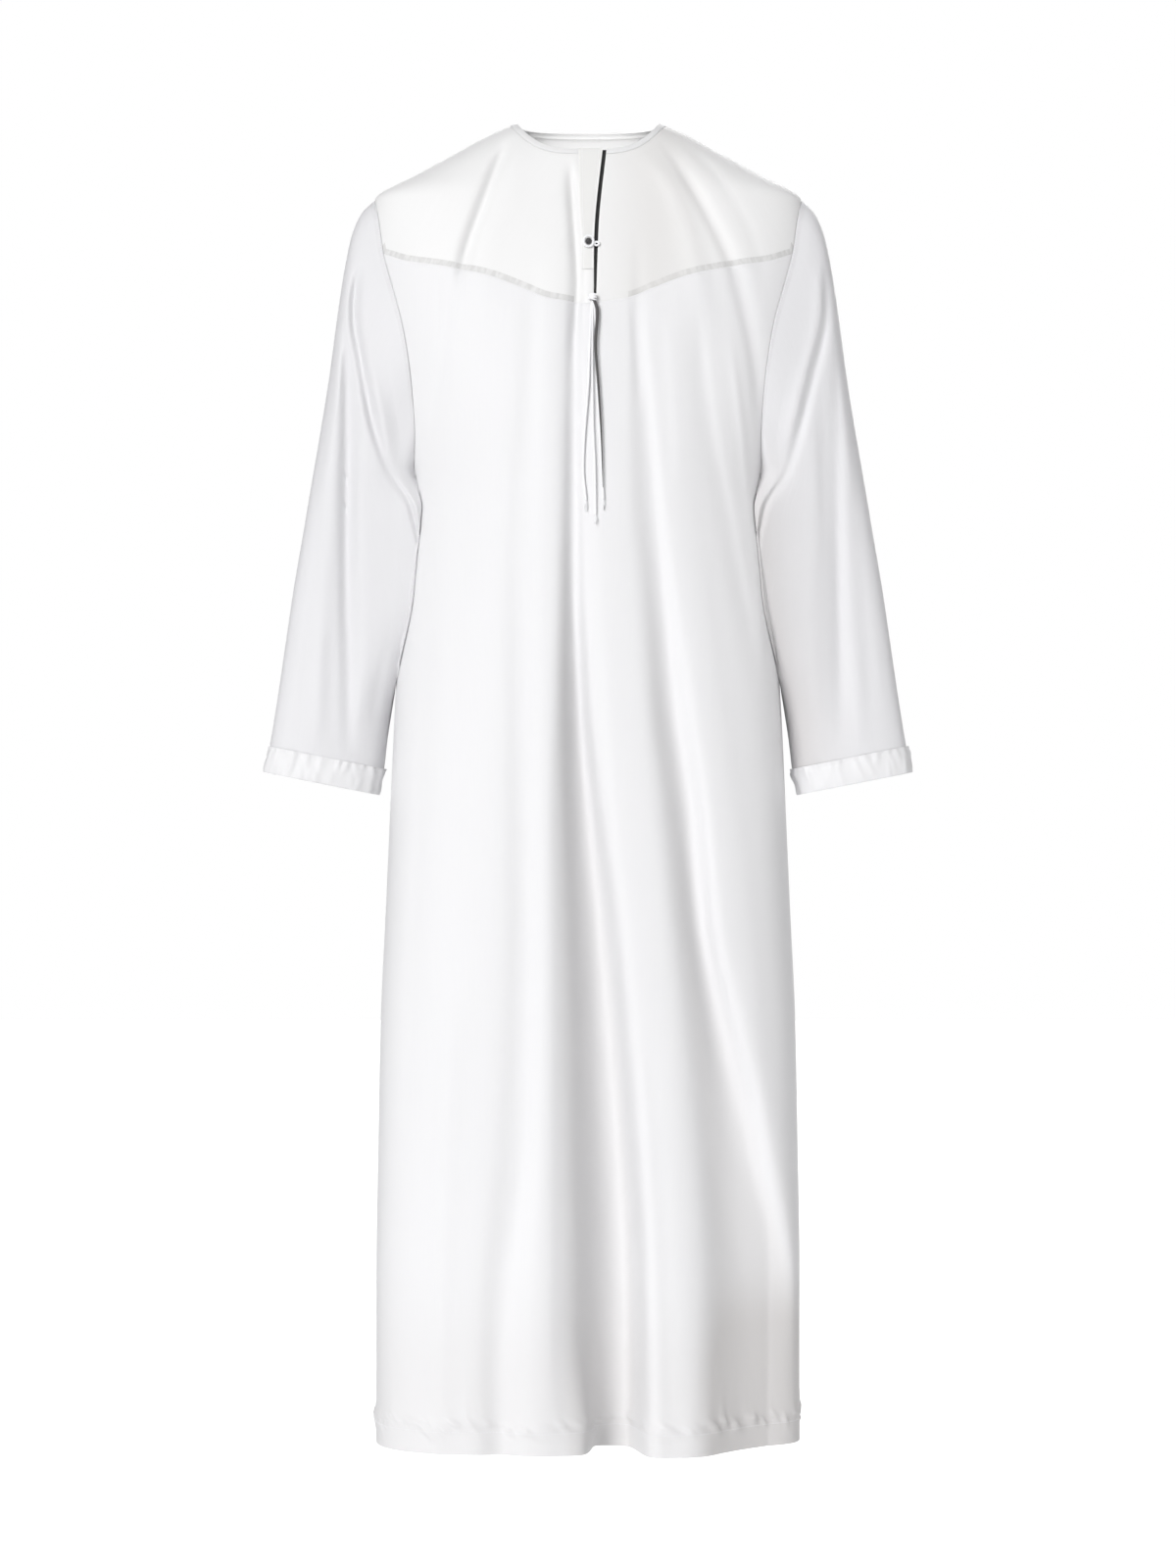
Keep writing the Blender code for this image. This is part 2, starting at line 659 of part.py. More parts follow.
def panel_solid(net, normals, panel, cells, lift=0.0, wall=WALL, apart=True):
    """A closed wall on a panel's cells, drawn back a little along every seam it shares."""
    users = seam_neighbours(net)
    uses = {}
    for cell in cells:
        for i in range(len(cell)):
            edge = (cell[i], cell[(i + 1) % len(cell)])
            uses.setdefault(frozenset(edge), []).append((edge, cell))
    borders = [entry[0] for entry in uses.values() if len(entry) == 1]
    pulls = {}
    for edge, cell in borders:
        away = edge_inset(net.points, cell, edge)
        gap = 0.0
        for other, other_cell in users.get(frozenset(edge), ()):
            if apart and other != panel:
                away = (away - edge_inset(net.points, other_cell, edge)).normalized()
                gap = SEAM_GAP / 2
        for i in edge:
            pulls.setdefault(i, []).append((away, gap))
    outer, inner = {}, {}
    bm = bmesh.new()
    for i in sorted({i for cell in cells for i in cell}):
        shift = Vector()
        if len(pulls.get(i, ())) >= 2:
            (m1, d1), (m2, d2) = pulls[i][:2]
            c = m1.dot(m2)
            if c > STRAIGHT_SEAM:
                shift = (m1 + m2).normalized() * max(d1, d2)
            else:
                shift = m1 * ((d1 - c * d2) / (1 - c * c)) + m2 * ((d2 - c * d1) / (1 - c * c))
        point = net.points[i] + shift + normals[i] * lift
        outer[i] = bm.verts.new(point)
        inner[i] = bm.verts.new(point - normals[i] * wall)
    for a, b, c, d in cells:
        bm.faces.new((outer[a], outer[b], outer[c]))
        bm.faces.new((outer[a], outer[c], outer[d]))
        bm.faces.new((inner[c], inner[b], inner[a]))
        bm.faces.new((inner[d], inner[c], inner[a]))
    for (a, b), _ in borders:
        bm.faces.new((outer[b], outer[a], inner[a]))
        bm.faces.new((outer[b], inner[a], inner[b]))
    return finish_object(bm, panel)


PIECE_FINISH = {
    "front_yoke_left": "doubled",
    "front_yoke_right": "doubled",
    "back_yoke": "doubled",
    "placket_strip": "trim",
    "placket_underlap": "dark",
    "button": "dark",
}


def finish_object(bm, name):
    """An object of its own with a smooth mesh and its material."""
    mesh = bpy.data.meshes.new(name)
    bm.to_mesh(mesh)
    bm.free()
    mesh.shade_smooth()
    finish = FINISHES[PIECE_FINISH.get(name, "cloth")]
    material = bpy.data.materials.new(name + "_cloth")
    material.use_nodes = True
    shader = material.node_tree.nodes["Principled BSDF"]
    shader.inputs["Base Color"].default_value = (*finish.colour, 1.0)
    shader.inputs["Roughness"].default_value = finish.roughness
    shader.inputs["Metallic"].default_value = 0.0
    mesh.materials.append(material)
    mesh.set_sharp_from_angle(angle=math.radians(SMOOTH_DEGREES))
    obj = bpy.data.objects.new(name, mesh)
    bpy.context.scene.collection.objects.link(obj)
    return obj


def make_placket(net, normals, yokes):
    """The strip that lies on the right front beside the slit, and the underlap that backs the slit."""
    right = yokes[True, -1]
    left = yokes[True, 1]
    strip = []
    under = []
    for k in range(YOKE_LAST_RING):
        upper = (right[k][1], right[k][0], left[k][0], left[k][1])
        lower = (right[k + 1][1], right[k + 1][0], left[k + 1][0], left[k + 1][1])
        cells = [(upper[j], lower[j], lower[j + 1], upper[j + 1]) for j in range(3)]
        under += cells
        if k < STRIP_RINGS:
            strip.append(cells[0])
    panel_solid(net, normals, "placket_strip", strip, SEAM_GAP + STRIP_WALL, STRIP_WALL, False)
    panel_solid(net, normals, "placket_underlap", under, -(WALL + SEAM_GAP), STRIP_WALL, False)


def tube_mesh(bm, path, radius, sides, closed=False):
    """A tube of the given number of sides along a path, with flat ends unless it is closed."""
    rings = []
    count = len(path)
    for i, point in enumerate(path):
        ahead = path[(i + 1) % count] if closed or i < count - 1 else point
        behind = path[i - 1] if closed or i > 0 else point
        along = (ahead - behind).normalized()
        across = along.cross(Vector((0, 1, 0))).normalized()
        up = across.cross(along).normalized()
        ring = []
        for j in range(sides):
            turn = 2.0 * math.pi * (j + 0.5) / sides
            ring.append(bm.verts.new(point + across * math.cos(turn) * radius + up * math.sin(turn) * radius))
        rings.append(ring)
    pairs = list(zip(rings, rings[1:] + rings[:1])) if closed else list(zip(rings, rings[1:]))
    for lower, upper in pairs:
        for j in range(sides):
            k = (j + 1) % sides
            bm.faces.new((lower[j], lower[k], upper[k], upper[j]))
    if not closed:
        bm.faces.new(tuple(reversed(rings[0])))
        bm.faces.new(tuple(rings[-1]))
    bmesh.ops.recalc_face_normals(bm, faces=bm.faces)


def make_loop_and_button():
    """A small fabric loop that lies on the strip's end, round a ball button."""
    strip_top = SEAM_GAP + STRIP_WALL
    base = cloth_point(LOOP_X, LOOP_Z, True)
    centre = base + Vector((0, -(strip_top + LOOP_CORD + LOOP_LIFT), 0))
    path = []
    for i in range(LOOP_SEGMENTS):
        turn = 2.0 * math.pi * i / LOOP_SEGMENTS
        path.append(centre + Vector((math.cos(turn), 0, math.sin(turn) * LOOP_STRETCH)) * LOOP_RADIUS)
    bm = bmesh.new()
    tube_mesh(bm, path, LOOP_CORD, LOOP_SIDES, closed=True)
    finish_object(bm, "button_loop")
    bm = bmesh.new()
    bmesh.ops.create_uvsphere(bm, u_segments=BUTTON_SEGMENTS, v_segments=BUTTON_RINGS, radius=BUTTON_RADIUS)
    bmesh.ops.translate(bm, vec=centre, verts=bm.verts)
    finish_object(bm, "button")


def cord_path(cord):
    """Points of one hanging cord, just in front of the cloth."""
    path = []
    for i in range(CORD_STEPS + 1):
        z = blend(cord.z[0], cord.z[-1], i / CORD_STEPS)
        x = curve_value(cord.z, cord.x, z)
        path.append(cloth_point(x, z, True) + Vector((0, -CORD_LIFT, 0)))
    return path


def make_tassel():
    """A small knot at the slit's end with cords that hang from it, joined into one body."""
    bm = bmesh.new()
    bmesh.ops.create_icosphere(bm, subdivisions=2, radius=KNOT_RADIUS)
    centre = cloth_point(KNOT_X, KNOT_Z, True) + Vector((0, -KNOT_RADIUS - SEAM_GAP, 0))
    bmesh.ops.translate(bm, vec=centre, verts=bm.verts)
    knot = finish_object(bm, "tassel")
    for cord in CORDS:
        bm = bmesh.new()
        path = cord_path(cord)
        path[0] = centre.lerp(path[0], CORD_ROOT)
        tube_mesh(bm, path, CORD_RADIUS, CORD_SIDES)
        strand = finish_object(bm, "tassel_cutter_" + cord.name)
        strand.hide_render = True
        strand.display_type = "WIRE"
        union = knot.modifiers.new(cord.name, "BOOLEAN")
        union.operation = "UNION"
        union.object = strand


def main():
    for old in list(bpy.data.objects):
        bpy.data.objects.remove(old, do_unlink=True)
    net, yokes = build_net()
    normals = net.normals()
    panels = {}
    for name, cell in net.cells:
        panels.setdefault(name, []).append(cell)
    for name, cells in panels.items():
        panel_solid(net, normals, name, cells)
    make_placket(net, normals, yokes)
    make_loop_and_button()
    make_tassel()


main()
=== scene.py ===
"""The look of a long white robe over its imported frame: fine cloth, seams, stitches, tassel and light.

Metres, +Z up. The front faces -Y and the wearer's left is +X. The body's cloth is one surface, a depth
for each width and height, so panels, creases, seams and stitches all read their places from it.
"""

import math
from collections import namedtuple

import bpy
import numpy as np
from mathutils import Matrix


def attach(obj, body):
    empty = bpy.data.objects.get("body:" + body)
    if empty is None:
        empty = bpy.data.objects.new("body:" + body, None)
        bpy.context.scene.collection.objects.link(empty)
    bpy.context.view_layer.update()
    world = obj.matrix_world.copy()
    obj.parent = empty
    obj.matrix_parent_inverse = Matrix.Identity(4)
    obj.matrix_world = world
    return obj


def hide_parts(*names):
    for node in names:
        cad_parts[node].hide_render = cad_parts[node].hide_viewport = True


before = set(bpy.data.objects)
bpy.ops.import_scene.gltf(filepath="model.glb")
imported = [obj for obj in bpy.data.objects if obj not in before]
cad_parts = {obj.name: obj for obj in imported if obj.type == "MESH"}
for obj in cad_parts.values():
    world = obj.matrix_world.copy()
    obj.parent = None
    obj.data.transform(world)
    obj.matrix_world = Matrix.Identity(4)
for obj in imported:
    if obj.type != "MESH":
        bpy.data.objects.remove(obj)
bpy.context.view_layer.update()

# Cloth
CLOTH = 0.0008
DOUBLED_CLOTH = 0.0014
STRIP_CLOTH = 0.0012
SEAM_DIP = 0.0005
NEXT_DIP = 0.35
SEAM_ALLOWANCE = 0.0065
SEAM_GAP = 0.0003
CAD_WALL = 0.0016
RAGGED = 0.0007
SHARP_ANGLE = 60.0
THREAD_PITCH = 0.00055
WAVE_PERIOD = 0.314159
# Colour factor that painted shade darkens the cloth towards, in hollows and other shaded places
PAINTED_SHADE_TINT = (0.85, 0.832, 0.815)
NAMES = {-1: "right", 1: "left"}

# Heights
NECK_DROP = 0.0352
UNDERARM_Z = -0.402
UNDERARM_DIP = 0.028
HEM_Z = -1.430
HEM_DEPTH = 0.028
BACK_YOKE_Z = -0.150

# Neck, shoulder and slit
NECK_HALF_WIDTH = 0.0787
NECK_SQUARENESS = 3.6
BINDING_WIDTH = 0.006
BINDING_SWELL = 0.0007
BINDING_SINK = 0.0002
BINDING_STITCH_ROW = 5
SHOULDER_TIP_X = 0.2327
SHOULDER_TIP_Z = -0.0824
NECK_SEAM_PART = 0.76
UNDERARM_CROWDING = 1.3
ARMHOLE_PULL = 1.3

# Counts of cells
SEAM_CELLS = 112
YOKE_ARMHOLE_CELLS = 20
PANEL_ARMHOLE_CELLS = 34
YOKE_ROWS = 30
LOWER_ROWS = 64
SLEEVE_ROWS_BETWEEN = 10
CUFF_CELLS = 220
NECK_SAMPLES = 400
QUARTER_SAMPLES = 200
HEIGHT_SAMPLES = 70
ARMHOLE_SAMPLES = 40
POINTS_PER_TURN = 7

# Rough lengths over which extra lines of points are spread
YOKE_SPAN = 0.22
PANEL_SPAN = 0.26
ARMHOLE_SPAN = 0.1

# Hem and cuff: steps, rises and grooves along their stitches
HEM_STEP = 0.0024
HEM_RISE = 0.0003
HEM_GROOVE = 0.0009
HEM_GROOVE_WIDTH = 0.0016
CUFF_RIM = 0.0028
CUFF_HEIGHT = 0.029
CUFF_TOP = 0.0255
CUFF_END = 0.0022
CUFF_CROWN = 0.0007
CUFF_GROOVE = 0.0010
CUFF_GROOVE_WIDTH = 0.0014

# Puckers along a line of stitches. Tilts are in degrees, and the pairs are lowest and highest.
Pucker = namedtuple("Pucker", "u v tilt length width height")
PuckerLine = namedtuple("PuckerLine", "level spacing height low_tilt high_tilt")
HEM_PUCKERS = PuckerLine(HEM_DEPTH, 0.013, 0.0042, -64.0, -24.0)
CUFF_TOP_PUCKERS = PuckerLine(CUFF_TOP, 0.011, 0.0032, 70.0, 112.0)
CUFF_END_PUCKERS = PuckerLine(0.006, 0.013, 0.0018, 70.0, 112.0)
PUCKER_STEP = (0.45, 1.7)
PUCKER_SHIFT = (-0.004, 0.006)
PUCKER_LENGTH = (0.006, 0.012)
PUCKER_WIDTH = (0.0026, 0.0044)
PUCKER_SHARE = (0.35, 1.0)

# Stitches, and the rings of points along one of them
Stitch = namedtuple("Stitch", "pitch length radius lift")
HEM_STITCH = Stitch(0.0034, 0.0022, 0.00022, 0.0002)
SEAM_STITCH = Stitch(0.0030, 0.0020, 0.00020, 0.0002)
ARMHOLE_STITCH = Stitch(0.0032, 0.0021, 0.00018, 0.0002)
FINE_STITCH = Stitch(0.0026, 0.0018, 0.00018, 0.0001)
StitchRing = namedtuple("StitchRing", "place swell rise")
STITCH_RINGS = (
    StitchRing(-0.5, 0.35, -0.6),
    StitchRing(-0.25, 1.0, 0.25),
    StitchRing(0.25, 1.0, 0.25),
    StitchRing(0.5, 0.35, -0.6),
)
STITCH_SIDES = 6
STITCH_SPREAD = 1.3

# Distances from a seam at which a panel has extra lines of points, so that its edge can roll inward.
EDGE_LINES = (0.0, 0.0010, 0.0026, 0.0050, SEAM_ALLOWANCE, 0.0085)
HEM_LINES = tuple(0.0022 * i for i in range(20))

# Horizontal sections of the body, from the neck points to the hem. A squareness of 2 is an ellipse.
Section = namedtuple("Section", "z half_width front_depth back_depth squareness")
SECTIONS = (
    Section(0.000, 0.0787, 0.045, 0.055, 2.40),
    Section(-0.0128, 0.1086, 0.053, 0.062, 2.40),
    Section(-0.0342, 0.1480, 0.064, 0.071, 2.40),
    Section(-0.0556, 0.1870, 0.072, 0.078, 2.40),
    Section(-0.0824, 0.2327, 0.080, 0.085, 2.40),
    Section(-0.1050, 0.2362, 0.087, 0.091, 2.40),
    Section(-0.1440, 0.2370, 0.098, 0.099, 2.40),
    Section(-0.2000, 0.2325, 0.111, 0.107, 2.40),
    Section(-0.2600, 0.2230, 0.121, 0.113, 2.40),
    Section(-0.3300, 0.2080, 0.128, 0.117, 2.40),
    Section(-0.4020, 0.1935, 0.131, 0.119, 2.40),
    Section(-0.4500, 0.1955, 0.132, 0.120, 2.45),
    Section(-0.5050, 0.2000, 0.133, 0.120, 2.50),
    Section(-0.5690, 0.2060, 0.134, 0.121, 2.55),
    Section(-0.6600, 0.2115, 0.135, 0.123, 2.65),
    Section(-0.7350, 0.2148, 0.135, 0.125, 2.80),
    Section(-0.8500, 0.2197, 0.136, 0.128, 2.95),
    Section(-0.9800, 0.2255, 0.137, 0.132, 3.10),
    Section(-1.1000, 0.2278, 0.138, 0.136, 3.20),
    Section(-1.2500, 0.2300, 0.139, 0.141, 3.30),
    Section(-1.4300, 0.2300, 0.140, 0.146, 3.40),
)

# Armhole edges as seen from the front and from the back, shoulder tip to underarm.
Edge = namedtuple("Edge", "x z")
FRONT_ARMHOLE = (
    Edge(0.2327, -0.0824),
    Edge(0.2275, -0.105),
    Edge(0.2210, -0.146),
    Edge(0.2085, -0.191),
    Edge(0.1987, -0.229),
    Edge(0.1900, -0.287),
    Edge(0.1862, -0.345),
    Edge(0.1885, -0.385),
    Edge(0.1935, -0.402),
)
BACK_ARMHOLE = (
    Edge(0.2327, -0.0824),
    Edge(0.2300, -0.105),
    Edge(0.2260, -0.150),
    Edge(0.2160, -0.200),
    Edge(0.2060, -0.250),
    Edge(0.1985, -0.300),
    Edge(0.1930, -0.350),
    Edge(0.1912, -0.385),
    Edge(0.1935, -0.402),
)
YOKE_CORNER = 2

# Between these widths the slit's strip hides the doubled edge of the front yokes.
SEAM_BARE_LOW_X = -0.015
SEAM_BARE_HIGH_X = 0.042

# Lower edge of the front yoke, from the middle to the armhole: a shallow V.
YOKE_SEAM = (
    Edge(0.000, -0.2070),
    Edge(0.042, -0.2005),
    Edge(0.068, -0.1900),
    Edge(0.104, -0.1760),
    Edge(0.135, -0.1680),
    Edge(0.160, -0.1625),
    Edge(0.195, -0.1560),
    Edge(0.221, -0.1460),
)

# The slit: its middle line and half its width, and the strip beside it.
SlitRow = namedtuple("SlitRow", "z x half_gap")
SLIT = (
    SlitRow(-0.030, 0.0184, 0.0021),
    SlitRow(-0.130, 0.0089, 0.0021),
    SlitRow(-0.207, 0.0073, 0.0012),
)
STRIP_TOP_WIDTH = 0.031
STRIP_LOW_WIDTH = 0.012
STRIP_TAPER_Z = -0.136
STRIP_END_Z = -0.170
STRIP_NECK_FADE = 0.03
STRIP_ROUNDING = 0.0004
STRIP_FOLD = 0.0022
UNDERLAP_MARGIN = 0.003

# Front folds, in the frame's places: at each height the two edges of a trough or ridge, how softly each
# edge turns, and how far the cloth between them stands out (troughs are negative).
Band = namedtuple("Band", "z low high soft_low soft_high depth")
FRONT_BANDS = (
    # The main trough, which falls slowly from the wearer's right lobe and rises fast on its other side
    Band((-0.24, -0.41, -0.51, -0.64, -0.74, -0.87, -1.06, -1.24, -1.37, -1.43),
         (-0.0213, -0.0223, -0.0234, -0.0230, -0.0205, -0.0135, -0.0070, -0.0015, -0.0010, -0.0085),
         (-0.0099, -0.0088, -0.0078, -0.0020, 0.0080, 0.0235, 0.0405, 0.0520, 0.0545, 0.0540),
         (0.0040, 0.0050, 0.0060, 0.0080, 0.0110, 0.0160, 0.0200, 0.0230, 0.0205, 0.0075),
         (0.0030, 0.0040, 0.0045, 0.0050, 0.0060, 0.0075, 0.0080, 0.0080, 0.0080, 0.0090),
         (-0.0040, -0.0110, -0.0180, -0.0320, -0.0390, -0.0490, -0.0590, -0.0680, -0.0700, -0.0700)),
    # The ridge beside it
    Band((-0.30, -0.51, -0.64, -0.74, -0.87, -1.06, -1.24, -1.43),
         (0.0000, 0.0060, 0.0130, 0.0200, 0.0320, 0.0480, 0.0540, 0.0545),
         (0.0480, 0.0629, 0.0733, 0.0878, 0.1045, 0.1250, 0.1320, 0.1340),
         (0.0070, 0.0080, 0.0080, 0.0090, 0.0100, 0.0110, 0.0120, 0.0120),
         (0.0080, 0.0100, 0.0100, 0.0120, 0.0110, 0.0140, 0.0150, 0.0150),
         (0.0015, 0.0040, 0.0060, 0.0080, 0.0100, 0.0130, 0.0160, 0.0180)),
    # The second trough
    Band((-0.24, -0.41, -0.51, -0.64, -0.74, -0.87, -0.97, -1.06, -1.15, -1.24, -1.43),
         (0.0490, 0.0525, 0.0629, 0.0733, 0.0860, 0.0995, 0.1120, 0.1220, 0.1340, 0.1440, 0.1540),
         (0.0600, 0.0753, 0.0857, 0.1013, 0.1169, 0.1290, 0.1510, 0.1730, 0.1920, 0.2180, 0.2700),
         (0.0035, 0.0080, 0.0090, 0.0095, 0.0110, 0.0120, 0.0150, 0.0195, 0.0250, 0.0300, 0.0320),
         (0.0050, 0.0060, 0.0070, 0.0080, 0.0080, 0.0080, 0.0100, 0.0120, 0.0130, 0.0150, 0.0200),
         (-0.0025, -0.0080, -0.0120, -0.0190, -0.0230, -0.0290, -0.0320, -0.0350, -0.0390, -0.0430, -0.0420)),
    # The wearer's right lobe: its edge ridge and the faint trough behind it
    Band((-0.24, -0.51, -0.74, -0.87, -1.06, -1.24, -1.43),
         (-0.0500, -0.0560, -0.0540, -0.0530, -0.0550, -0.0650, -0.0700),
         (-0.0300, -0.0300, -0.0360, -0.0330, -0.0330, -0.0340, -0.0340),
         (0.0060, 0.0060, 0.0060, 0.0060, 0.0070, 0.0090, 0.0100),
         (0.0050, 0.0050, 0.0050, 0.0060, 0.0070, 0.0080, 0.0080),
         (0.0012, 0.0026, 0.0036, 0.0044, 0.0050, 0.0055, 0.0055)),
    Band((-0.24, -0.51, -0.74, -0.87, -1.06, -1.15, -1.24, -1.34, -1.43),
         (-0.0680, -0.0840, -0.0820, -0.0820, -0.0880, -0.0950, -0.1040, -0.1080, -0.1060),
         (-0.0540, -0.0620, -0.0600, -0.0590, -0.0620, -0.0650, -0.0780, -0.0840, -0.0820),
         (0.0060, 0.0080, 0.0090, 0.0100, 0.0110, 0.0120, 0.0120, 0.0120, 0.0110),
         (0.0060, 0.0070, 0.0070, 0.0070, 0.0080, 0.0080, 0.0090, 0.0100, 0.0100),
         (-0.0010, -0.0024, -0.0040, -0.0046, -0.0050, -0.0060, -0.0070, -0.0080, -0.0090)),
    # A low ridge near the wearer's left side
    Band((-0.42, -0.64, -0.87, -1.10, -1.43),
         (0.0900, 0.1120, 0.1340, 0.1600, 0.1800),
         (0.1160, 0.1480, 0.1780, 0.1950, 0.2100),
         (0.0090, 0.0100, 0.0110, 0.0110, 0.0110),
         (0.0070, 0.0080, 0.0090, 0.0090, 0.0080),
         (0.0015, 0.0026, 0.0030, 0.0025, 0.0000)),
)

# Back folds: where each lies at five heights, its half width and its depth (ridges are positive).
FOLD_HEIGHTS = (-0.21, -0.42, -0.75, -1.10, -1.43)
Fold = namedtuple("Fold", "x width depth")
BACK_FOLDS = (
    Fold((-0.004, -0.006, -0.012, -0.004, 0.006), (0.016, 0.020, 0.024, 0.028, 0.032),
         (0.000, 0.003, 0.007, 0.012, 0.016)),
    Fold((0.040, 0.048, 0.058, 0.064, 0.072), (0.012, 0.014, 0.018, 0.022, 0.024),
         (-0.001, -0.006, -0.014, -0.026, -0.038)),
    Fold((-0.046, -0.054, -0.072, -0.078, -0.082), (0.012, 0.014, 0.017, 0.020, 0.022),
         (-0.001, -0.005, -0.012, -0.022, -0.030)),
    Fold((0.086, 0.098, 0.110, 0.128, 0.140), (0.014, 0.016, 0.020, 0.024, 0.026),
         (0.000, 0.002, 0.006, 0.010, 0.014)),
    Fold((-0.098, -0.108, -0.128, -0.142, -0.150), (0.014, 0.016, 0.020, 0.022, 0.024),
         (0.000, 0.002, 0.004, 0.008, 0.010)),
)
FOLD_SIDE_FADE = 0.16
FOLD_SIDE_POWER = 0.4
FOLD_TOP_Z = -0.12
FOLD_TOP_FADE = 0.12

# Painted shade in the cloth's colour: hollows, the left yoke and sleeve, the hem's left corner; darker
# towards the hem
HOLLOW_DEPTH = 0.030
HOLLOW_SHIFT = 0.008
HOLLOW_SHADE = 0.34
YOKE_SHADE = 0.50
YOKE_SHADE_X = 0.072
YOKE_SHADE_WIDTH = 0.046
SLEEVE_SHADE = 0.85
SLEEVE_SHADE_ANGLE = 145.0
SLEEVE_SHADE_WIDTH = 35.0
SLEEVE_SHADE_TOP_Z = -0.30
SLEEVE_SHADE_FADE = 0.15
HEM_SHADE = 0.24
CORNER_SHADE = 1.0
CORNER_SHADE_START_X = 0.100
CORNER_SHADE_WIDTH = 0.050
HEM_SHADE_TOP_Z = -1.22
HEM_SHADE_FULL_Z = -1.36

# Finer creases: a line from top to bottom, the half width on the line's -X and +X
# sides, and the depth at the middle of its length (ridges are positive).
Crease = namedtuple("Crease", "z x width_low width_high depth")
FRONT_CREASES = (
    # Drapes that hang from the neck
    Crease((-0.018, -0.077, -0.154, -0.205), (-0.0860, -0.1070, -0.1320, -0.1410), 0.0070, 0.0075, -0.0070),
    Crease((-0.020, -0.090, -0.150, -0.230), (-0.0700, -0.0860, -0.1080, -0.1180), 0.0120, 0.0160, 0.0014),
    Crease((-0.150, -0.184, -0.222, -0.323, -0.398), (-0.1700, -0.1535, -0.1535, -0.1650, -0.1810),
           0.0050, 0.0090, -0.0016),
    Crease((-0.018, -0.120, -0.168, -0.259, -0.345, -0.396), (0.0776, 0.1343, 0.1557, 0.1771, 0.1878, 0.1935),
           0.0070, 0.0110, -0.0055),
    Crease((-0.016, -0.080, -0.140, -0.210), (0.1000, 0.1500, 0.1800, 0.1960), 0.0080, 0.0080, -0.0012),
    Crease((-0.030, -0.090, -0.160, -0.260), (0.0600, 0.0950, 0.1150, 0.1350), 0.0130, 0.0110, 0.0026),
    # The narrow trough that starts beside the slit and runs into the main fold
    Crease((-0.045, -0.120, -0.184, -0.240, -0.300), (-0.0205, -0.0140, -0.0100, -0.0130, -0.0170),
           0.0065, 0.0040, -0.0070),
    Crease((-0.190, -0.250, -0.330), (0.0465, 0.0500, 0.0530), 0.0040, 0.0060, -0.0014),
    # The bright narrow ridge that runs down from the neck past the armhole
    Crease((-0.230, -0.310, -0.407, -0.520, -0.640), (0.1500, 0.1610, 0.1730, 0.1850, 0.1900),
           0.0060, 0.0050, 0.0022),
    # Faint ones across the wearer's left chest
    Crease((-0.200, -0.320, -0.410, -0.510, -0.640), (0.1120, 0.1270, 0.1440, 0.1636, 0.1880), 0.0130, 0.0080,
           -0.0030),
    Crease((-0.210, -0.320, -0.440), (0.0850, 0.0930, 0.1000), 0.0080, 0.0100, 0.0010),
    Crease((-0.300, -0.480, -0.700, -0.900), (-0.1300, -0.1380, -0.1440, -0.1480), 0.0120, 0.0160, -0.0012),
    Crease((-0.480, -0.700, -0.950, -1.200), (-0.1680, -0.1780, -0.1880, -0.1950), 0.0090, 0.0100, -0.0016),
    # Below the knee
    Crease((-0.900, -1.100, -1.300, -1.430), (-0.1450, -0.1520, -0.1580, -0.1600), 0.0120, 0.0140, 0.0024),
    Crease((-0.950, -1.150, -1.430), (0.0600, 0.0780, 0.0900), 0.0090, 0.0110, -0.0012),
)
BACK_CREASES = (
    Crease((-0.020, -0.080, -0.150), (-0.0700, -0.1050, -0.1300), 0.0090, 0.0070, -0.0024),
    Crease((-0.020, -0.090, -0.160), (0.0740, 0.1120, 0.1420), 0.0070, 0.0100, -0.0022),
    Crease((-0.150, -0.240, -0.340, -0.440), (-0.0180, -0.0200, -0.0240, -0.0300), 0.0050, 0.0060, -0.0026),
    Crease((-0.150, -0.230, -0.330, -0.450), (0.0160, 0.0180, 0.0240, 0.0300), 0.0060, 0.0050, -0.0024),
    Crease((-0.160, -0.260, -0.360, -0.396), (-0.1300, -0.1550, -0.1800, -0.1920), 0.0100, 0.0070, -0.0028),
    Crease((-0.160, -0.270, -0.370, -0.396), (0.1200, 0.1520, 0.1820, 0.1920), 0.0070, 0.0100, -0.0026),
    Crease((-0.350, -0.550, -0.800, -1.050), (-0.1400, -0.1560, -0.1740, -0.1860), 0.0100, 0.0100, -0.0026),
    Crease((-0.400, -0.600, -0.850, -1.100), (0.1450, 0.1620, 0.1780, 0.1900), 0.0100, 0.0100, -0.0024),
    Crease((-0.700, -0.900, -1.150, -1.430), (-0.0350, -0.0380, -0.0400, -0.0400), 0.0080, 0.0100, -0.0024),
    Crease((-0.800, -1.000, -1.200, -1.430), (0.0260, 0.0320, 0.0360, 0.0380), 0.0090, 0.0080, -0.0026),
)
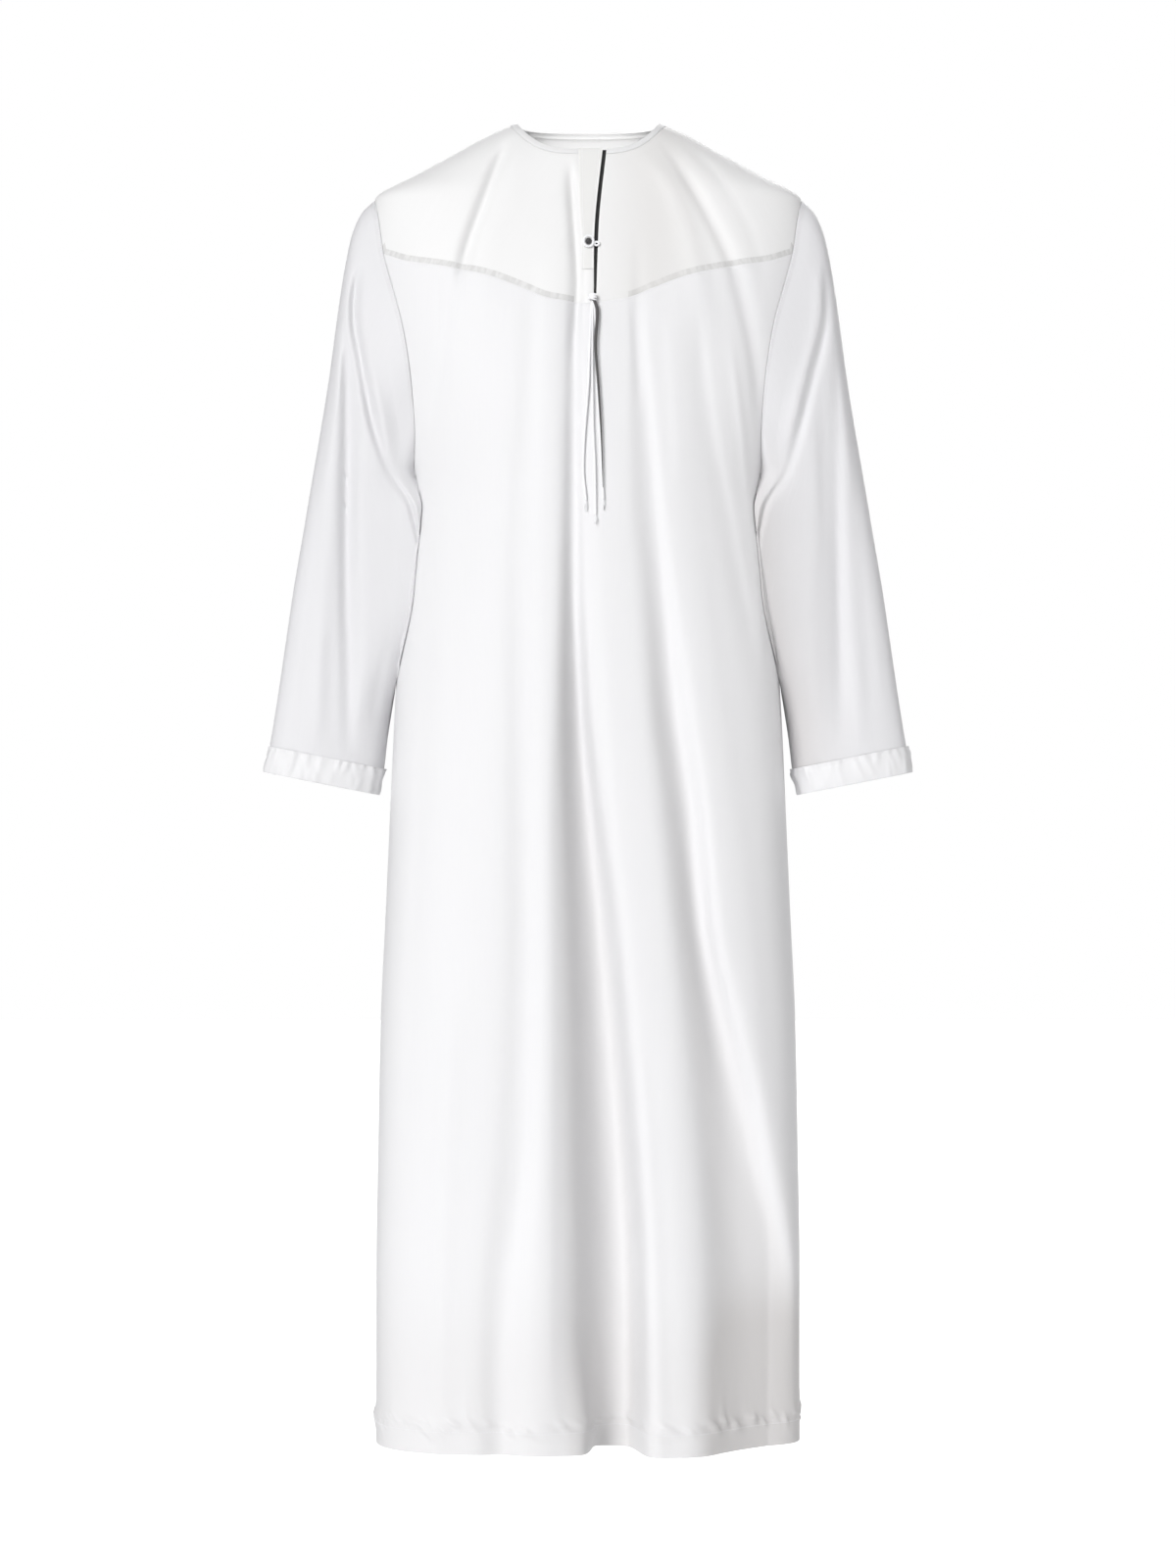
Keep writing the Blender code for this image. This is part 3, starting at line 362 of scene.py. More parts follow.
# Creases of the sleeves as seen from the front, for the wearer's right and left, and from behind.
RIGHT_SLEEVE_CREASES = (
    Crease((-0.150, -0.205, -0.259, -0.334, -0.400), (-0.2480, -0.2530, -0.2455, -0.2310, -0.2080),
           0.0050, 0.0070, -0.0090),
    Crease((-0.160, -0.205, -0.325, -0.400), (-0.2420, -0.2475, -0.2220, -0.2080), 0.0050, 0.0080, 0.0026),
    Crease((-0.200, -0.330, -0.460, -0.600, -0.720), (-0.2610, -0.2610, -0.2615, -0.2610, -0.2590),
           0.0055, 0.0100, -0.0085),
    Crease((-0.320, -0.460, -0.600, -0.700), (-0.2450, -0.2480, -0.2500, -0.2500), 0.0060, 0.0080, 0.0024),
    Crease((-0.380, -0.500, -0.620, -0.700), (-0.2860, -0.2960, -0.3060, -0.3140), 0.0080, 0.0080, -0.0022),
    Crease((-0.540, -0.620, -0.690), (-0.2880, -0.2900, -0.2920), 0.0070, 0.0070, 0.0016),
    Crease((-0.460, -0.560, -0.680), (-0.2240, -0.2290, -0.2340), 0.0050, 0.0060, -0.0018),
)
LEFT_SLEEVE_CREASES = (
    Crease((-0.150, -0.205, -0.280, -0.366, -0.410), (0.2560, 0.2573, 0.2413, 0.2199, 0.2080),
           0.0050, 0.0070, -0.0050),
    Crease((-0.150, -0.184, -0.302, -0.376), (0.2500, 0.2520, 0.2274, 0.2092), 0.0080, 0.0050, 0.0026),
    Crease((-0.210, -0.340, -0.500, -0.640, -0.710), (0.2660, 0.2690, 0.2700, 0.2720, 0.2720),
           0.0070, 0.0070, -0.0042),
    Crease((-0.300, -0.450, -0.600, -0.700), (0.2430, 0.2470, 0.2500, 0.2520), 0.0080, 0.0060, 0.0022),
    Crease((-0.360, -0.480, -0.600, -0.690), (0.2840, 0.2930, 0.3040, 0.3120), 0.0080, 0.0080, -0.0024),
    Crease((-0.560, -0.630, -0.700), (0.2900, 0.2930, 0.2960), 0.0070, 0.0060, 0.0014),
    Crease((-0.440, -0.540, -0.660), (0.2230, 0.2280, 0.2320), 0.0060, 0.0050, -0.0018),
)
BACK_SLEEVE_CREASES = (
    Crease((-0.160, -0.240, -0.320, -0.400), (0.2520, 0.2460, 0.2340, 0.2120), 0.0060, 0.0060, -0.0042),
    Crease((-0.220, -0.380, -0.540, -0.690), (0.2720, 0.2780, 0.2820, 0.2860), 0.0080, 0.0080, -0.0034),
    Crease((-0.340, -0.480, -0.600, -0.700), (0.2440, 0.2480, 0.2520, 0.2560), 0.0070, 0.0070, -0.0026),
    Crease((-0.420, -0.520, -0.640), (0.2980, 0.3060, 0.3160), 0.0070, 0.0070, 0.0020),
)
CREASE_FADE_TOP = 0.18
CREASE_FADE_END = 0.34
SLEEVE_CREASE_FADE = 0.35

# At the hem the wearer's right lobe leans over the main trough: where, how wide and how far.
LEAN_X = -0.014
LEAN_WIDTH = 0.017
LEAN_REACH = 0.012
LEAN_START_Z = -1.30

# Sleeve: its outer and inner lines from the armhole to the cuff's seam, and half its depth.
SleeveRow = namedtuple("SleeveRow", "outer_x outer_z inner_x inner_z half_depth")
SLEEVE_TABLE = (
    SleeveRow(0.2327, -0.0824, 0.1935, -0.4020, 0.0700),
    SleeveRow(0.2462, -0.0955, 0.1955, -0.4180, 0.0690),
    SleeveRow(0.2572, -0.1200, 0.1962, -0.4350, 0.0675),
    SleeveRow(0.2655, -0.1600, 0.1970, -0.4540, 0.0655),
    SleeveRow(0.2732, -0.2120, 0.1986, -0.4750, 0.0630),
    SleeveRow(0.2812, -0.2720, 0.2005, -0.4980, 0.0600),
    SleeveRow(0.2908, -0.3320, 0.2027, -0.5240, 0.0570),
    SleeveRow(0.3012, -0.3920, 0.2054, -0.5520, 0.0540),
    SleeveRow(0.3110, -0.4500, 0.2079, -0.5800, 0.0510),
    SleeveRow(0.3205, -0.5050, 0.2100, -0.6100, 0.0485),
    SleeveRow(0.3290, -0.5620, 0.2145, -0.6400, 0.0460),
    SleeveRow(0.3375, -0.6200, 0.2192, -0.6710, 0.0440),
    SleeveRow(0.3470, -0.6778, 0.2229, -0.7024, 0.0420),
    SleeveRow(0.3500, -0.6925, 0.2259, -0.7171, 0.0422),
    SleeveRow(0.3530, -0.7062, 0.2286, -0.7308, 0.0424),
)
CUFF_ROW = 12
CUFF_END_ROW = 14
ARMHOLE_REACH = 5
SLEEVE_FLATNESS = 0.60

# The sleeve's inner front lies over the body's side between these turns in degrees and heights.
OVERLAP = 0.017
OVERLAP_LIFT = 0.0035
OVERLAP_CLEAR = 0.0026
OVERLAP_START = 85.0
OVERLAP_END = 182.0
OVERLAP_TOP_Z = -0.375
OVERLAP_LOW_Z = -0.655
OVERLAP_FLAT = 0.9

# Broad folds of the sleeves: turns in degrees, rows of the table and depth
SleeveFold = namedtuple("SleeveFold", "top_angle cuff_angle half_width first_row last_row depth")
SLEEVE_FOLDS = (
    SleeveFold(62, 92, 16, 3, 12, -0.0050),
    SleeveFold(100, 128, 18, 2, 11, 0.0035),
    SleeveFold(36, 54, 14, 2, 9, 0.0030),
    SleeveFold(250, 262, 18, 3, 12, -0.0045),
    SleeveFold(292, 300, 18, 2, 11, 0.0030),
)

# Loop, button and tassel
LOOP_X = 0.0006
LOOP_Z = -0.1395
LOOP_RADIUS = 0.0050
LOOP_STRETCH = 1.15
LOOP_CORD = 0.0014
LOOP_LIFT = 0.0022
LOOP_TWIST = 260.0
LOOP_KNOT_X = 0.0092
LOOP_KNOT_Z = -0.1420
LOOP_KNOT_RADIUS = 0.0019
BUTTON_RADIUS = 0.0033
KNOT_X = 0.0048
KNOT_Z = -0.2010
KNOT_RADIUS = 0.0042
Wind = namedtuple("Wind", "level tilt")
KNOT_WINDS = (Wind(-0.0022, -0.5), Wind(-0.0010, 0.4), Wind(0.0004, -0.1), Wind(0.0014, 0.7),
              Wind(0.0026, 0.15))
WIND_RADIUS = 0.0010
CORD_RADIUS = 0.0012
CORD_LIFT = 0.0034
CORD_TWIST = 170.0
FRAY_COUNT = 14
FRAY_SPREAD = 0.0016
FRAY_LENGTH = (0.006, 0.012)
FRAY_RADIUS = 0.00022
# Radii of the dark thread that paints the cords' shadow, from the knot down
CORD_SHADOW_RADII = (0.0018, 0.0016, 0.0010, 0.0003)
Cord = namedtuple("Cord", "name x z")
CORDS = (
    Cord("outer", (0.0036, 0.0005, -0.0040, -0.0052, -0.0022), (-0.200, -0.290, -0.352, -0.382, -0.418)),
    Cord("middle", (0.0050, 0.0046, 0.0052, 0.0072, 0.0078), (-0.200, -0.280, -0.335, -0.385, -0.433)),
    Cord("inner", (0.0064, 0.0088, 0.0100, 0.0130, 0.0160), (-0.200, -0.250, -0.300, -0.352, -0.417)),
)
# A dark thread beside the cords that paints their shadow on the cloth
CORD_SHADOW = Cord("cord shadow", (0.0060, 0.0100, 0.0082, 0.0112, 0.0142, 0.0158),
                   (-0.203, -0.216, -0.250, -0.300, -0.352, -0.405))

# Camera and stage
CAMERA_Z = -0.719
CAMERA_DISTANCE = 4.5
METRES_PER_PIXEL = 0.00107
PHOTO_WIDTH = 1200
SENSOR = 36.0
FLOOR_Z = -1.78
FLOOR_HALF = 14.0
FLOOR_GLOW = 0.16
FLOOR_SEEN_GLOW = 0.46
WORLD_LIGHT = 0.17

# Lamps: the azimuth they shine from, where 0 is the front and less is picture left, and the
# elevation and spread, all in degrees. The last one lights the neck's inside only.
Lamp = namedtuple("Lamp", "name azimuth elevation spread strength colour")
LAMPS = (
    Lamp("key", -30.0, 22.0, 26.0, 2.50, (1.0, 1.0, 1.0)),
    Lamp("side_fill", 82.0, 6.0, 36.0, 0.88, (1.0, 0.99, 0.985)),
    Lamp("back", 172.0, 24.0, 40.0, 1.50, (1.0, 1.0, 1.0)),
    Lamp("top", 0.0, 68.0, 60.0, 0.30, (1.0, 1.0, 1.0)),
)
NECK_LAMP = Lamp("neck_inside", 0.0, 3.0, 30.0, 2.8, (1.0, 1.0, 1.0))


def blend(a, b, t):
    """The value a part t of the way from a to b."""
    return a + (b - a) * t


def smooth(t):
    """A soft step from 0 to 1."""
    t = np.clip(t, 0.0, 1.0)
    return t * t * (3.0 - 2.0 * t)


def curve(places, values, place):
    """A smooth curve through the values, which stand at rising or falling places."""
    keys = np.array(places, float)
    values = np.array(values, float)
    place = np.asarray(place, float)
    if keys[-1] < keys[0]:
        keys, place = -keys, -place
    place = np.clip(place, keys[0], keys[-1])
    i = np.clip(np.searchsorted(keys, place, side="right") - 1, 0, len(keys) - 2)
    slopes = np.diff(values) / np.diff(keys)
    product = slopes[:-1] * slopes[1:]
    total = np.where(product > 0.0, slopes[:-1] + slopes[1:], 1.0)
    inner = np.where(product > 0.0, 2.0 * product / total, 0.0)
    tangents = np.concatenate((slopes[:1], inner, slopes[-1:]))
    step = (keys[1:] - keys[:-1])[i]
    t = (place - keys[i]) / step
    a = (1 + 2 * t) * (1 - t) ** 2
    b = t * (1 - t) ** 2
    c = t * t * (3 - 2 * t)
    d = t * t * (t - 1)
    return a * values[i] + b * step * tangents[i] + c * values[i + 1] + d * step * tangents[i + 1]


def column(table, field):
    """One field of every row of a table."""
    return [getattr(row, field) for row in table]


def section(field, z):
    """One size of the body's section at each height."""
    return curve(column(SECTIONS, "z"), column(SECTIONS, field), z)


def fold_push(folds, x, z):
    """How far the frame's folds push the cloth outward."""
    total = np.zeros_like(x)
    for fold in folds:
        middle = curve(FOLD_HEIGHTS, fold.x, z)
        width = curve(FOLD_HEIGHTS, fold.width, z)
        total += curve(FOLD_HEIGHTS, fold.depth, z) * np.exp(-(((x - middle) / width) ** 2))
    return total * np.clip((FOLD_TOP_Z - z) / FOLD_TOP_FADE, 0.0, 1.0)


def step(t):
    """A soft step that is halfway up at 0."""
    return 0.5 + 0.5 * np.tanh(t)


def band_push(bands, x, z):
    """How far the front folds push the cloth outward."""
    total = np.zeros_like(x)
    for band in bands:
        low = (x - curve(band.z, band.low, z)) / curve(band.z, band.soft_low, z)
        high = (curve(band.z, band.high, z) - x) / curve(band.z, band.soft_high, z)
        total += curve(band.z, band.depth, z) * step(low) * step(high)
    return total * np.clip((FOLD_TOP_Z - z) / FOLD_TOP_FADE, 0.0, 1.0)


def crease_push(creases, x, z):
    """How far the fine creases push the cloth outward."""
    total = np.zeros_like(x)
    for crease in creases:
        length = crease.z[0] - crease.z[-1]
        part = (crease.z[0] - z) / length
        ends_open = crease.z[-1] <= HEM_Z + HEM_DEPTH
        strength = smooth(part / CREASE_FADE_TOP)
        if not ends_open:
            strength = strength * smooth((1.0 - part) / CREASE_FADE_END)
        off = x - curve(crease.z, crease.x, z)
        width = np.where(off < 0.0, crease.width_low, crease.width_high)
        total += crease.depth * strength * np.exp(-((off / width) ** 2))
    return total


def body(x, z, front):
    """Points of the body's cloth at the given widths and heights, on the front or on the back."""
    x, z = np.broadcast_arrays(np.asarray(x, float), np.asarray(z, float))
    depth = section("front_depth" if front else "back_depth", z)
    squareness = section("squareness", z)
    share = np.minimum(1.0, np.abs(x) / section("half_width", z))
    y = depth * (1.0 - share ** squareness) ** (1.0 / squareness)
    side_fade = np.minimum(1.0, (1.0 - share) / FOLD_SIDE_FADE) ** FOLD_SIDE_POWER
    folds = band_push(FRONT_BANDS, x, z) if front else fold_push(BACK_FOLDS, x, z)
    y = y + side_fade * (folds + crease_push(FRONT_CREASES if front else BACK_CREASES, x, z))
    lean = np.zeros_like(x)
    if front:
        strength = LEAN_REACH * smooth((LEAN_START_Z - z) / (LEAN_START_Z - HEM_Z))
        lean = strength * np.exp(-(((x - LEAN_X) / LEAN_WIDTH) ** 2))
    return np.stack((x + lean, -y if front else y, z), axis=-1)


def lengths_of(line):
    """The length along a line of points up to each of them."""
    steps = np.linalg.norm(np.diff(line, axis=0), axis=1)
    return np.concatenate(([0.0], np.cumsum(steps)))


def at_lengths(values, lengths, places):
    """The values at places along a line, whose points have these lengths."""
    return np.stack([np.interp(places, lengths, values[:, k]) for k in range(values.shape[1])], axis=-1)


def spaced(line, shares):
    """Points along a dense line of points, at the given shares of its length."""
    lengths = lengths_of(line)
    return at_lengths(line, lengths, np.asarray(shares) * lengths[-1])


def stations(count, length, start=(), end=()):
    """Shares from 0 to 1: even ones, with extra lines at the given distances from each end."""
    low = [d / length for d in start]
    high = [1.0 - d / length for d in end]
    first = max(low) if low else 0.0
    last = min(high) if high else 1.0
    shares = low + high + list(np.linspace(first, last, count + 1))
    return np.array(sorted({round(float(s), 7) for s in shares}))


def armhole(front):
    """Dense lines of the armhole on the wearer's left: along the yoke and along the panel."""
    edge = FRONT_ARMHOLE if front else BACK_ARMHOLE
    places = range(len(edge))

    def stretch(first, last):
        place = np.linspace(first, last, ARMHOLE_SAMPLES * (last - first) + 1)
        return body(curve(places, column(edge, "x"), place), curve(places, column(edge, "z"), place), front)

    upper = stretch(0, YOKE_CORNER)
    lower = stretch(YOKE_CORNER, len(edge) - 1)
    upper[0] = (SHOULDER_TIP_X, 0, SHOULDER_TIP_Z)
    lower[-1, 1:] = (0, UNDERARM_Z)
    return upper, lower


def shoulder_line(part):
    """Points on the shoulder from the neck point to the shoulder tip."""
    z = blend(0.0, SHOULDER_TIP_Z, part)
    return np.stack((section("half_width", z), np.zeros_like(z), z), axis=-1)


def neck_height(x, front):
    """Height of the neck's edge."""
    if not front:
        return np.zeros_like(x)
    return -NECK_DROP * (1.0 - (np.abs(x) / NECK_HALF_WIDTH) ** NECK_SQUARENESS)


def slit_edge(z, side):
    """The x of the slit's edge on one side at each height."""
    heights = column(SLIT, "z")
    return curve(heights, column(SLIT, "x"), z) + side * curve(heights, column(SLIT, "half_gap"), z)


def yoke_seam(x, front):
    """Height of the yoke seam at each width."""
    if not front:
        return np.full_like(x, BACK_YOKE_Z)
    return curve(column(YOKE_SEAM, "x"), column(YOKE_SEAM, "z"), np.abs(x))


def yoke_rings(front, side, parts_of):
    """Rings of points from the neck outward, each from the middle to the shoulder.

    parts_of gives the rings' shares of the way from neck to outer edge, from the length of each way.
    """
    seam_end = (FRONT_ARMHOLE if front else BACK_ARMHOLE)[YOKE_CORNER].x
    low_x = float(side * slit_edge(YOKE_SEAM[0].z, side)) if front else 0.0
    first_x = float(slit_edge(-NECK_DROP, side)) if front else 0.0
    columns = stations(SEAM_CELLS, YOKE_SPAN, EDGE_LINES[:4] if front else ())
    x = blend(low_x, seam_end, columns)
    seam = np.stack((side * x, yoke_seam(x, front)), axis=-1)
    arm = spaced(armhole(front)[0], stations(YOKE_ARMHOLE_CELLS, ARMHOLE_SPAN, EDGE_LINES[:3]))[::-1]
    outer = np.concatenate((seam[:-1], np.stack((side * arm[:, 0], arm[:, 2]), axis=-1)))
    neck_shares = np.concatenate((NECK_SEAM_PART * columns[:-1], np.linspace(NECK_SEAM_PART, 1.0, len(arm))))
    along = 1.0 - (1.0 - np.linspace(0, 1, NECK_SAMPLES)) ** 2
    neck_x = blend(first_x, side * NECK_HALF_WIDTH, along)
    neck = spaced(body(neck_x, neck_height(neck_x, front), front), neck_shares)
    reach = np.hypot(outer[:, 0] - neck[:, 0], outer[:, 1] - neck[:, 2])
    parts = parts_of(reach)
    bulge = shoulder_line(parts[:, -1]) * (side, 1, 1)
    bulge[:, 0] -= blend(neck[-1, 0], outer[-1, 0], parts[:, -1])
    bulge[:, 2] -= blend(neck[-1, 2], outer[-1, 1], parts[:, -1])
    weight = np.concatenate((neck_shares[:-1], [1.0])) ** 2
    x = blend(neck[:, 0], outer[:, 0], parts) + bulge[:, :1] * weight
    z = blend(neck[:, 2], outer[:, 1], parts) + bulge[:, 2:] * weight
    if front:
        push = slit_edge(z[:, 0], side) - x[:, 0]
        x = x + push[:, None] * (1.0 - neck_shares) ** 4
    points = body(x, z, front)
    points[:, -1] = np.stack((x[:, -1], np.zeros(len(x)), z[:, -1]), axis=-1)
    edge = parts[-1] > 0.9999
    if edge.all():
        points[-1, len(seam) - 1:, 1] = arm[:, 1]
    return points


def binding_parts(reach):
    """Rings of the neck binding."""
    rows = np.linspace(0.0, BINDING_WIDTH, 7)
    return rows[:, None] / reach[None, :]


def yoke_parts(reach):
    """Rings of a yoke below the binding, crowded at both of its edges."""
    first = [BINDING_WIDTH / reach + d / reach for d in EDGE_LINES[:4]]
    last = [1.0 - d / reach for d in reversed(EDGE_LINES)]
    middle = [blend(first[-1], last[0], t) for t in np.linspace(0, 1, YOKE_ROWS + 1)[1:-1]]
    return np.array(first + middle + last)


def quarter_table(front, shares, heights):
    """Widths that part the section's quarter by the shares, a row for each height."""
    rows = []
    angle = np.linspace(0.0, 0.5 * math.pi, QUARTER_SAMPLES)
    for z in heights:
        power = 2.0 / section("squareness", z)
        depth = section("front_depth" if front else "back_depth", z)
        width = section("half_width", z)
        line = np.stack((width * np.sin(angle) ** power, depth * np.cos(angle) ** power), -1)
        rows.append(spaced(line, shares)[:, 0])
    return np.array(rows)


def panel_points(front):
    """Rows of points of the front or back panel, from the yoke seam to the hem."""
    half = stations(SEAM_CELLS, PANEL_SPAN, (), EDGE_LINES[:3])
    shares = np.concatenate((-half[:0:-1], half))
    seam_end = (FRONT_ARMHOLE if front else BACK_ARMHOLE)[YOKE_CORNER].x
    top_x = seam_end * shares
    top_z = yoke_seam(top_x, front)
    heights = np.linspace(UNDERARM_Z + 0.002, HEM_Z, HEIGHT_SAMPLES)
    table = quarter_table(front, np.abs(shares), heights)

    def place(part):
        start = UNDERARM_Z - UNDERARM_DIP * np.sqrt(1.0 - shares ** 2)
        z = blend(start, HEM_Z, part)
        x = [np.interp(-z[j], -heights, table[:, j]) for j in range(len(shares))]
        return np.copysign(x, shares), z

    base_x, base_z = place(0.0)
    rows = stations(PANEL_ARMHOLE_CELLS, PANEL_SPAN, EDGE_LINES)
    edge = spaced(armhole(front)[1], 1.0 - (1.0 - rows) ** UNDERARM_CROWDING)
    away = np.abs(shares)
    grid = []
    for r, point in zip(rows, edge):
        edge_part = (point[2] - edge[0, 2]) / (UNDERARM_Z - edge[0, 2])
        bend = point[0] - blend(seam_end, base_x[-1], edge_part)
        part = blend(edge_part, r, 1.0 - away ** 3)
        x = blend(top_x, base_x, part) + bend * np.sign(shares) * away ** ARMHOLE_PULL
        line = body(x, blend(top_z, base_z, part), front)
        line[-1] = point
        line[0] = point * (-1, 1, 1)
        grid.append(line)
    for part in stations(LOWER_ROWS, UNDERARM_Z - HEM_Z, (), HEM_LINES)[1:]:
        x, z = place(part)
        line = body(x, z, front)
        line[(0, -1), 1] = 0.0
        grid.append(line)
    return np.array(grid)


def sleeve_size(field, row):
    """One size of the sleeve at a row number, which may lie between two rows."""
    return curve(range(len(SLEEVE_TABLE)), column(SLEEVE_TABLE, field), row)


def sleeve_ring(row, turns):
    """Points round the left sleeve, from its outer line over the front to its inner line and back."""
    outer = np.array((sleeve_size("outer_x", row), 0.0, sleeve_size("outer_z", row)))
    inner = np.array((sleeve_size("inner_x", row), 0.0, sleeve_size("inner_z", row)))
    depth = float(sleeve_size("half_depth", row))
    middle = (outer + inner) / 2
    reach = float(np.linalg.norm(outer - inner)) / 2
    along = (outer - inner) / (2 * reach)
    extra = np.zeros_like(turns)
    degrees = np.degrees(turns) % 360.0
    for fold in SLEEVE_FOLDS:
        part = (row - fold.first_row) / (fold.last_row - fold.first_row)
        if 0.0 < part < 1.0:
            centre = blend(fold.top_angle, fold.cuff_angle, part)
            strength = fold.depth * math.sin(math.pi * part)
            extra += strength * np.exp(-(((degrees - centre) / fold.half_width) ** 2))
    ring = middle + along * (np.cos(turns) * (reach + extra))[:, None]
    flat = np.sin(turns)
    ring[:, 1] -= np.sign(flat) * np.abs(flat) ** SLEEVE_FLATNESS * (depth + extra)
    return ring


def sleeve_crease(ring, turns, side):
    """Moves a ring's points in and out by the fine creases of the side that they lie on."""
    front = np.sin(turns) > 0
    fade = smooth(np.abs(np.sin(turns)) / SLEEVE_CREASE_FADE)
    near = RIGHT_SLEEVE_CREASES if side < 0 else LEFT_SLEEVE_CREASES
    push = np.where(front, crease_push(near, side * ring[:, 0], ring[:, 2]),
                    crease_push(BACK_SLEEVE_CREASES, ring[:, 0], ring[:, 2])) * fade
    ring[:, 1] += np.where(front, -push, push)
    return ring


def sleeve_overlap(ring, turns, side):
    """Lets the inner front of a ring of the sleeve lie over the body's side."""
    degrees = np.degrees(turns) % 360.0
    near = smooth((degrees - OVERLAP_START) / 40.0) * smooth((OVERLAP_END - degrees) / 20.0)
    level = smooth((OVERLAP_TOP_Z - ring[:, 2]) / 0.05) * smooth((ring[:, 2] - OVERLAP_LOW_Z) / 0.14)
    ring[:, 0] -= OVERLAP * near * level
    ring[:, 1] = blend(ring[:, 1], ring[:, 1].min() - OVERLAP_LIFT, OVERLAP_FLAT * near * level)
    behind = -body(side * ring[:, 0], ring[:, 2], True)[:, 1]
    over = (near * level > 0.01) & (ring[:, 0] < section("half_width", ring[:, 2]))
    ring[:, 1] = np.where(over, np.minimum(ring[:, 1], -behind - OVERLAP_CLEAR), ring[:, 1])
    return ring


def armhole_loop():
    """The armhole's points on the wearer's left, all round from the tip over the front."""
    half = []
    for front in (True, False):
        upper, lower = armhole(front)
        top = spaced(upper, np.linspace(0, 1, YOKE_ARMHOLE_CELLS + 1))
        low = spaced(lower, 1.0 - (1.0 - np.linspace(0, 1, PANEL_ARMHOLE_CELLS + 1)) ** UNDERARM_CROWDING)
        half.append(np.concatenate((top, low[1:])))
    return np.concatenate((half[0], half[1][-2:0:-1]))


def sleeve_points(side):
    """Rings of points from the armhole to the cuff's seam, in the frame's own place."""
    loop = armhole_loop()
    first = SLEEVE_TABLE[0]
    middle = np.array((first.outer_x + first.inner_x, 0, first.outer_z + first.inner_z)) / 2
    half = np.array((first.outer_x - first.inner_x, 0, first.outer_z - first.inner_z)) / 2
    turns = np.arctan2(-loop[:, 1] / first.half_depth, (loop - middle) @ half / (half @ half))
    offsets = loop - sleeve_ring(0, turns)
    rings = []
    even = np.linspace(0, CUFF_ROW, CUFF_ROW * SLEEVE_ROWS_BETWEEN + 1)
    extra = np.array((0.04, 0.10, CUFF_ROW - 0.05, CUFF_ROW - 0.02))
    for row in np.sort(np.concatenate((even, extra))):
        fade = 1.0 - smooth(row / ARMHOLE_REACH)
        ring = sleeve_ring(row, turns) + offsets * fade
        creased = sleeve_crease(ring.copy(), turns, side)
        strength = smooth(row / 1.5) * (1.0 - 0.8 * smooth((row - CUFF_ROW + 0.6) / 0.6))
        rings.append(sleeve_overlap(blend(ring, creased, strength), turns, side))
    return np.array(rings) * (side, 1, 1), turns


def cuff_points(side):
    """Rings of points of the cuff, a band that stands a little proud of the sleeve."""
    turns = np.linspace(0, 2 * math.pi, CUFF_CELLS, endpoint=False)
    rows = stations(9, CUFF_HEIGHT, (0.0, 0.0008, 0.002), (0.0, 0.0006, 0.0016))
    rings = [sleeve_ring(blend(CUFF_ROW, CUFF_END_ROW, r), turns) for r in rows]
    return np.array(rings) * (side, 1, 1)


def normals_of(points, wrap=False):
    """Unit normals of a grid of points, facing away from an upright axis or a ring's own middle.

    The second value is -1 where the grid's own order of points faces inward.
    """
    if wrap:
        across = np.roll(points, -1, axis=1) - np.roll(points, 1, axis=1)
        middle = points.mean(axis=1, keepdims=True)
    else:
        across = np.gradient(points, axis=1)
        middle = points * (0, 0, 1)
    down = np.gradient(points, axis=0)
    normals = np.cross(across, down)
    normals /= np.maximum(1e-12, np.linalg.norm(normals, axis=-1, keepdims=True))
    sign = np.sign(np.sum(normals * (points - middle)))
    return normals * sign, sign


def uv_of(points, wrap):
    """Width and height over the cloth in metres, for the weave."""
    across = np.linalg.norm(np.diff(points, axis=1), axis=-1)
    u = np.concatenate((np.zeros((len(points), 1)), np.cumsum(across, axis=1)), axis=1)
    if not wrap:
        u -= u.mean(axis=1, keepdims=True)
    down = np.linalg.norm(np.diff(points, axis=0), axis=-1).mean(axis=1)
    v = np.concatenate(([0.0], np.cumsum(down)))[:, None] * np.ones(points.shape[1])
    return np.stack((u, v), axis=-1)


def dress(name, mesh, material, node=None):
    """Adds a mesh as a piece that rides on the robe and may stand for one of its CAD nodes."""
    mesh.shade_smooth()
    mesh.materials.append(MATERIALS[material])
    piece = bpy.data.objects.new(name, mesh)
    bpy.context.scene.collection.objects.link(piece)
    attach(piece, "root")
    if node:
        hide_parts(node)
    return piece


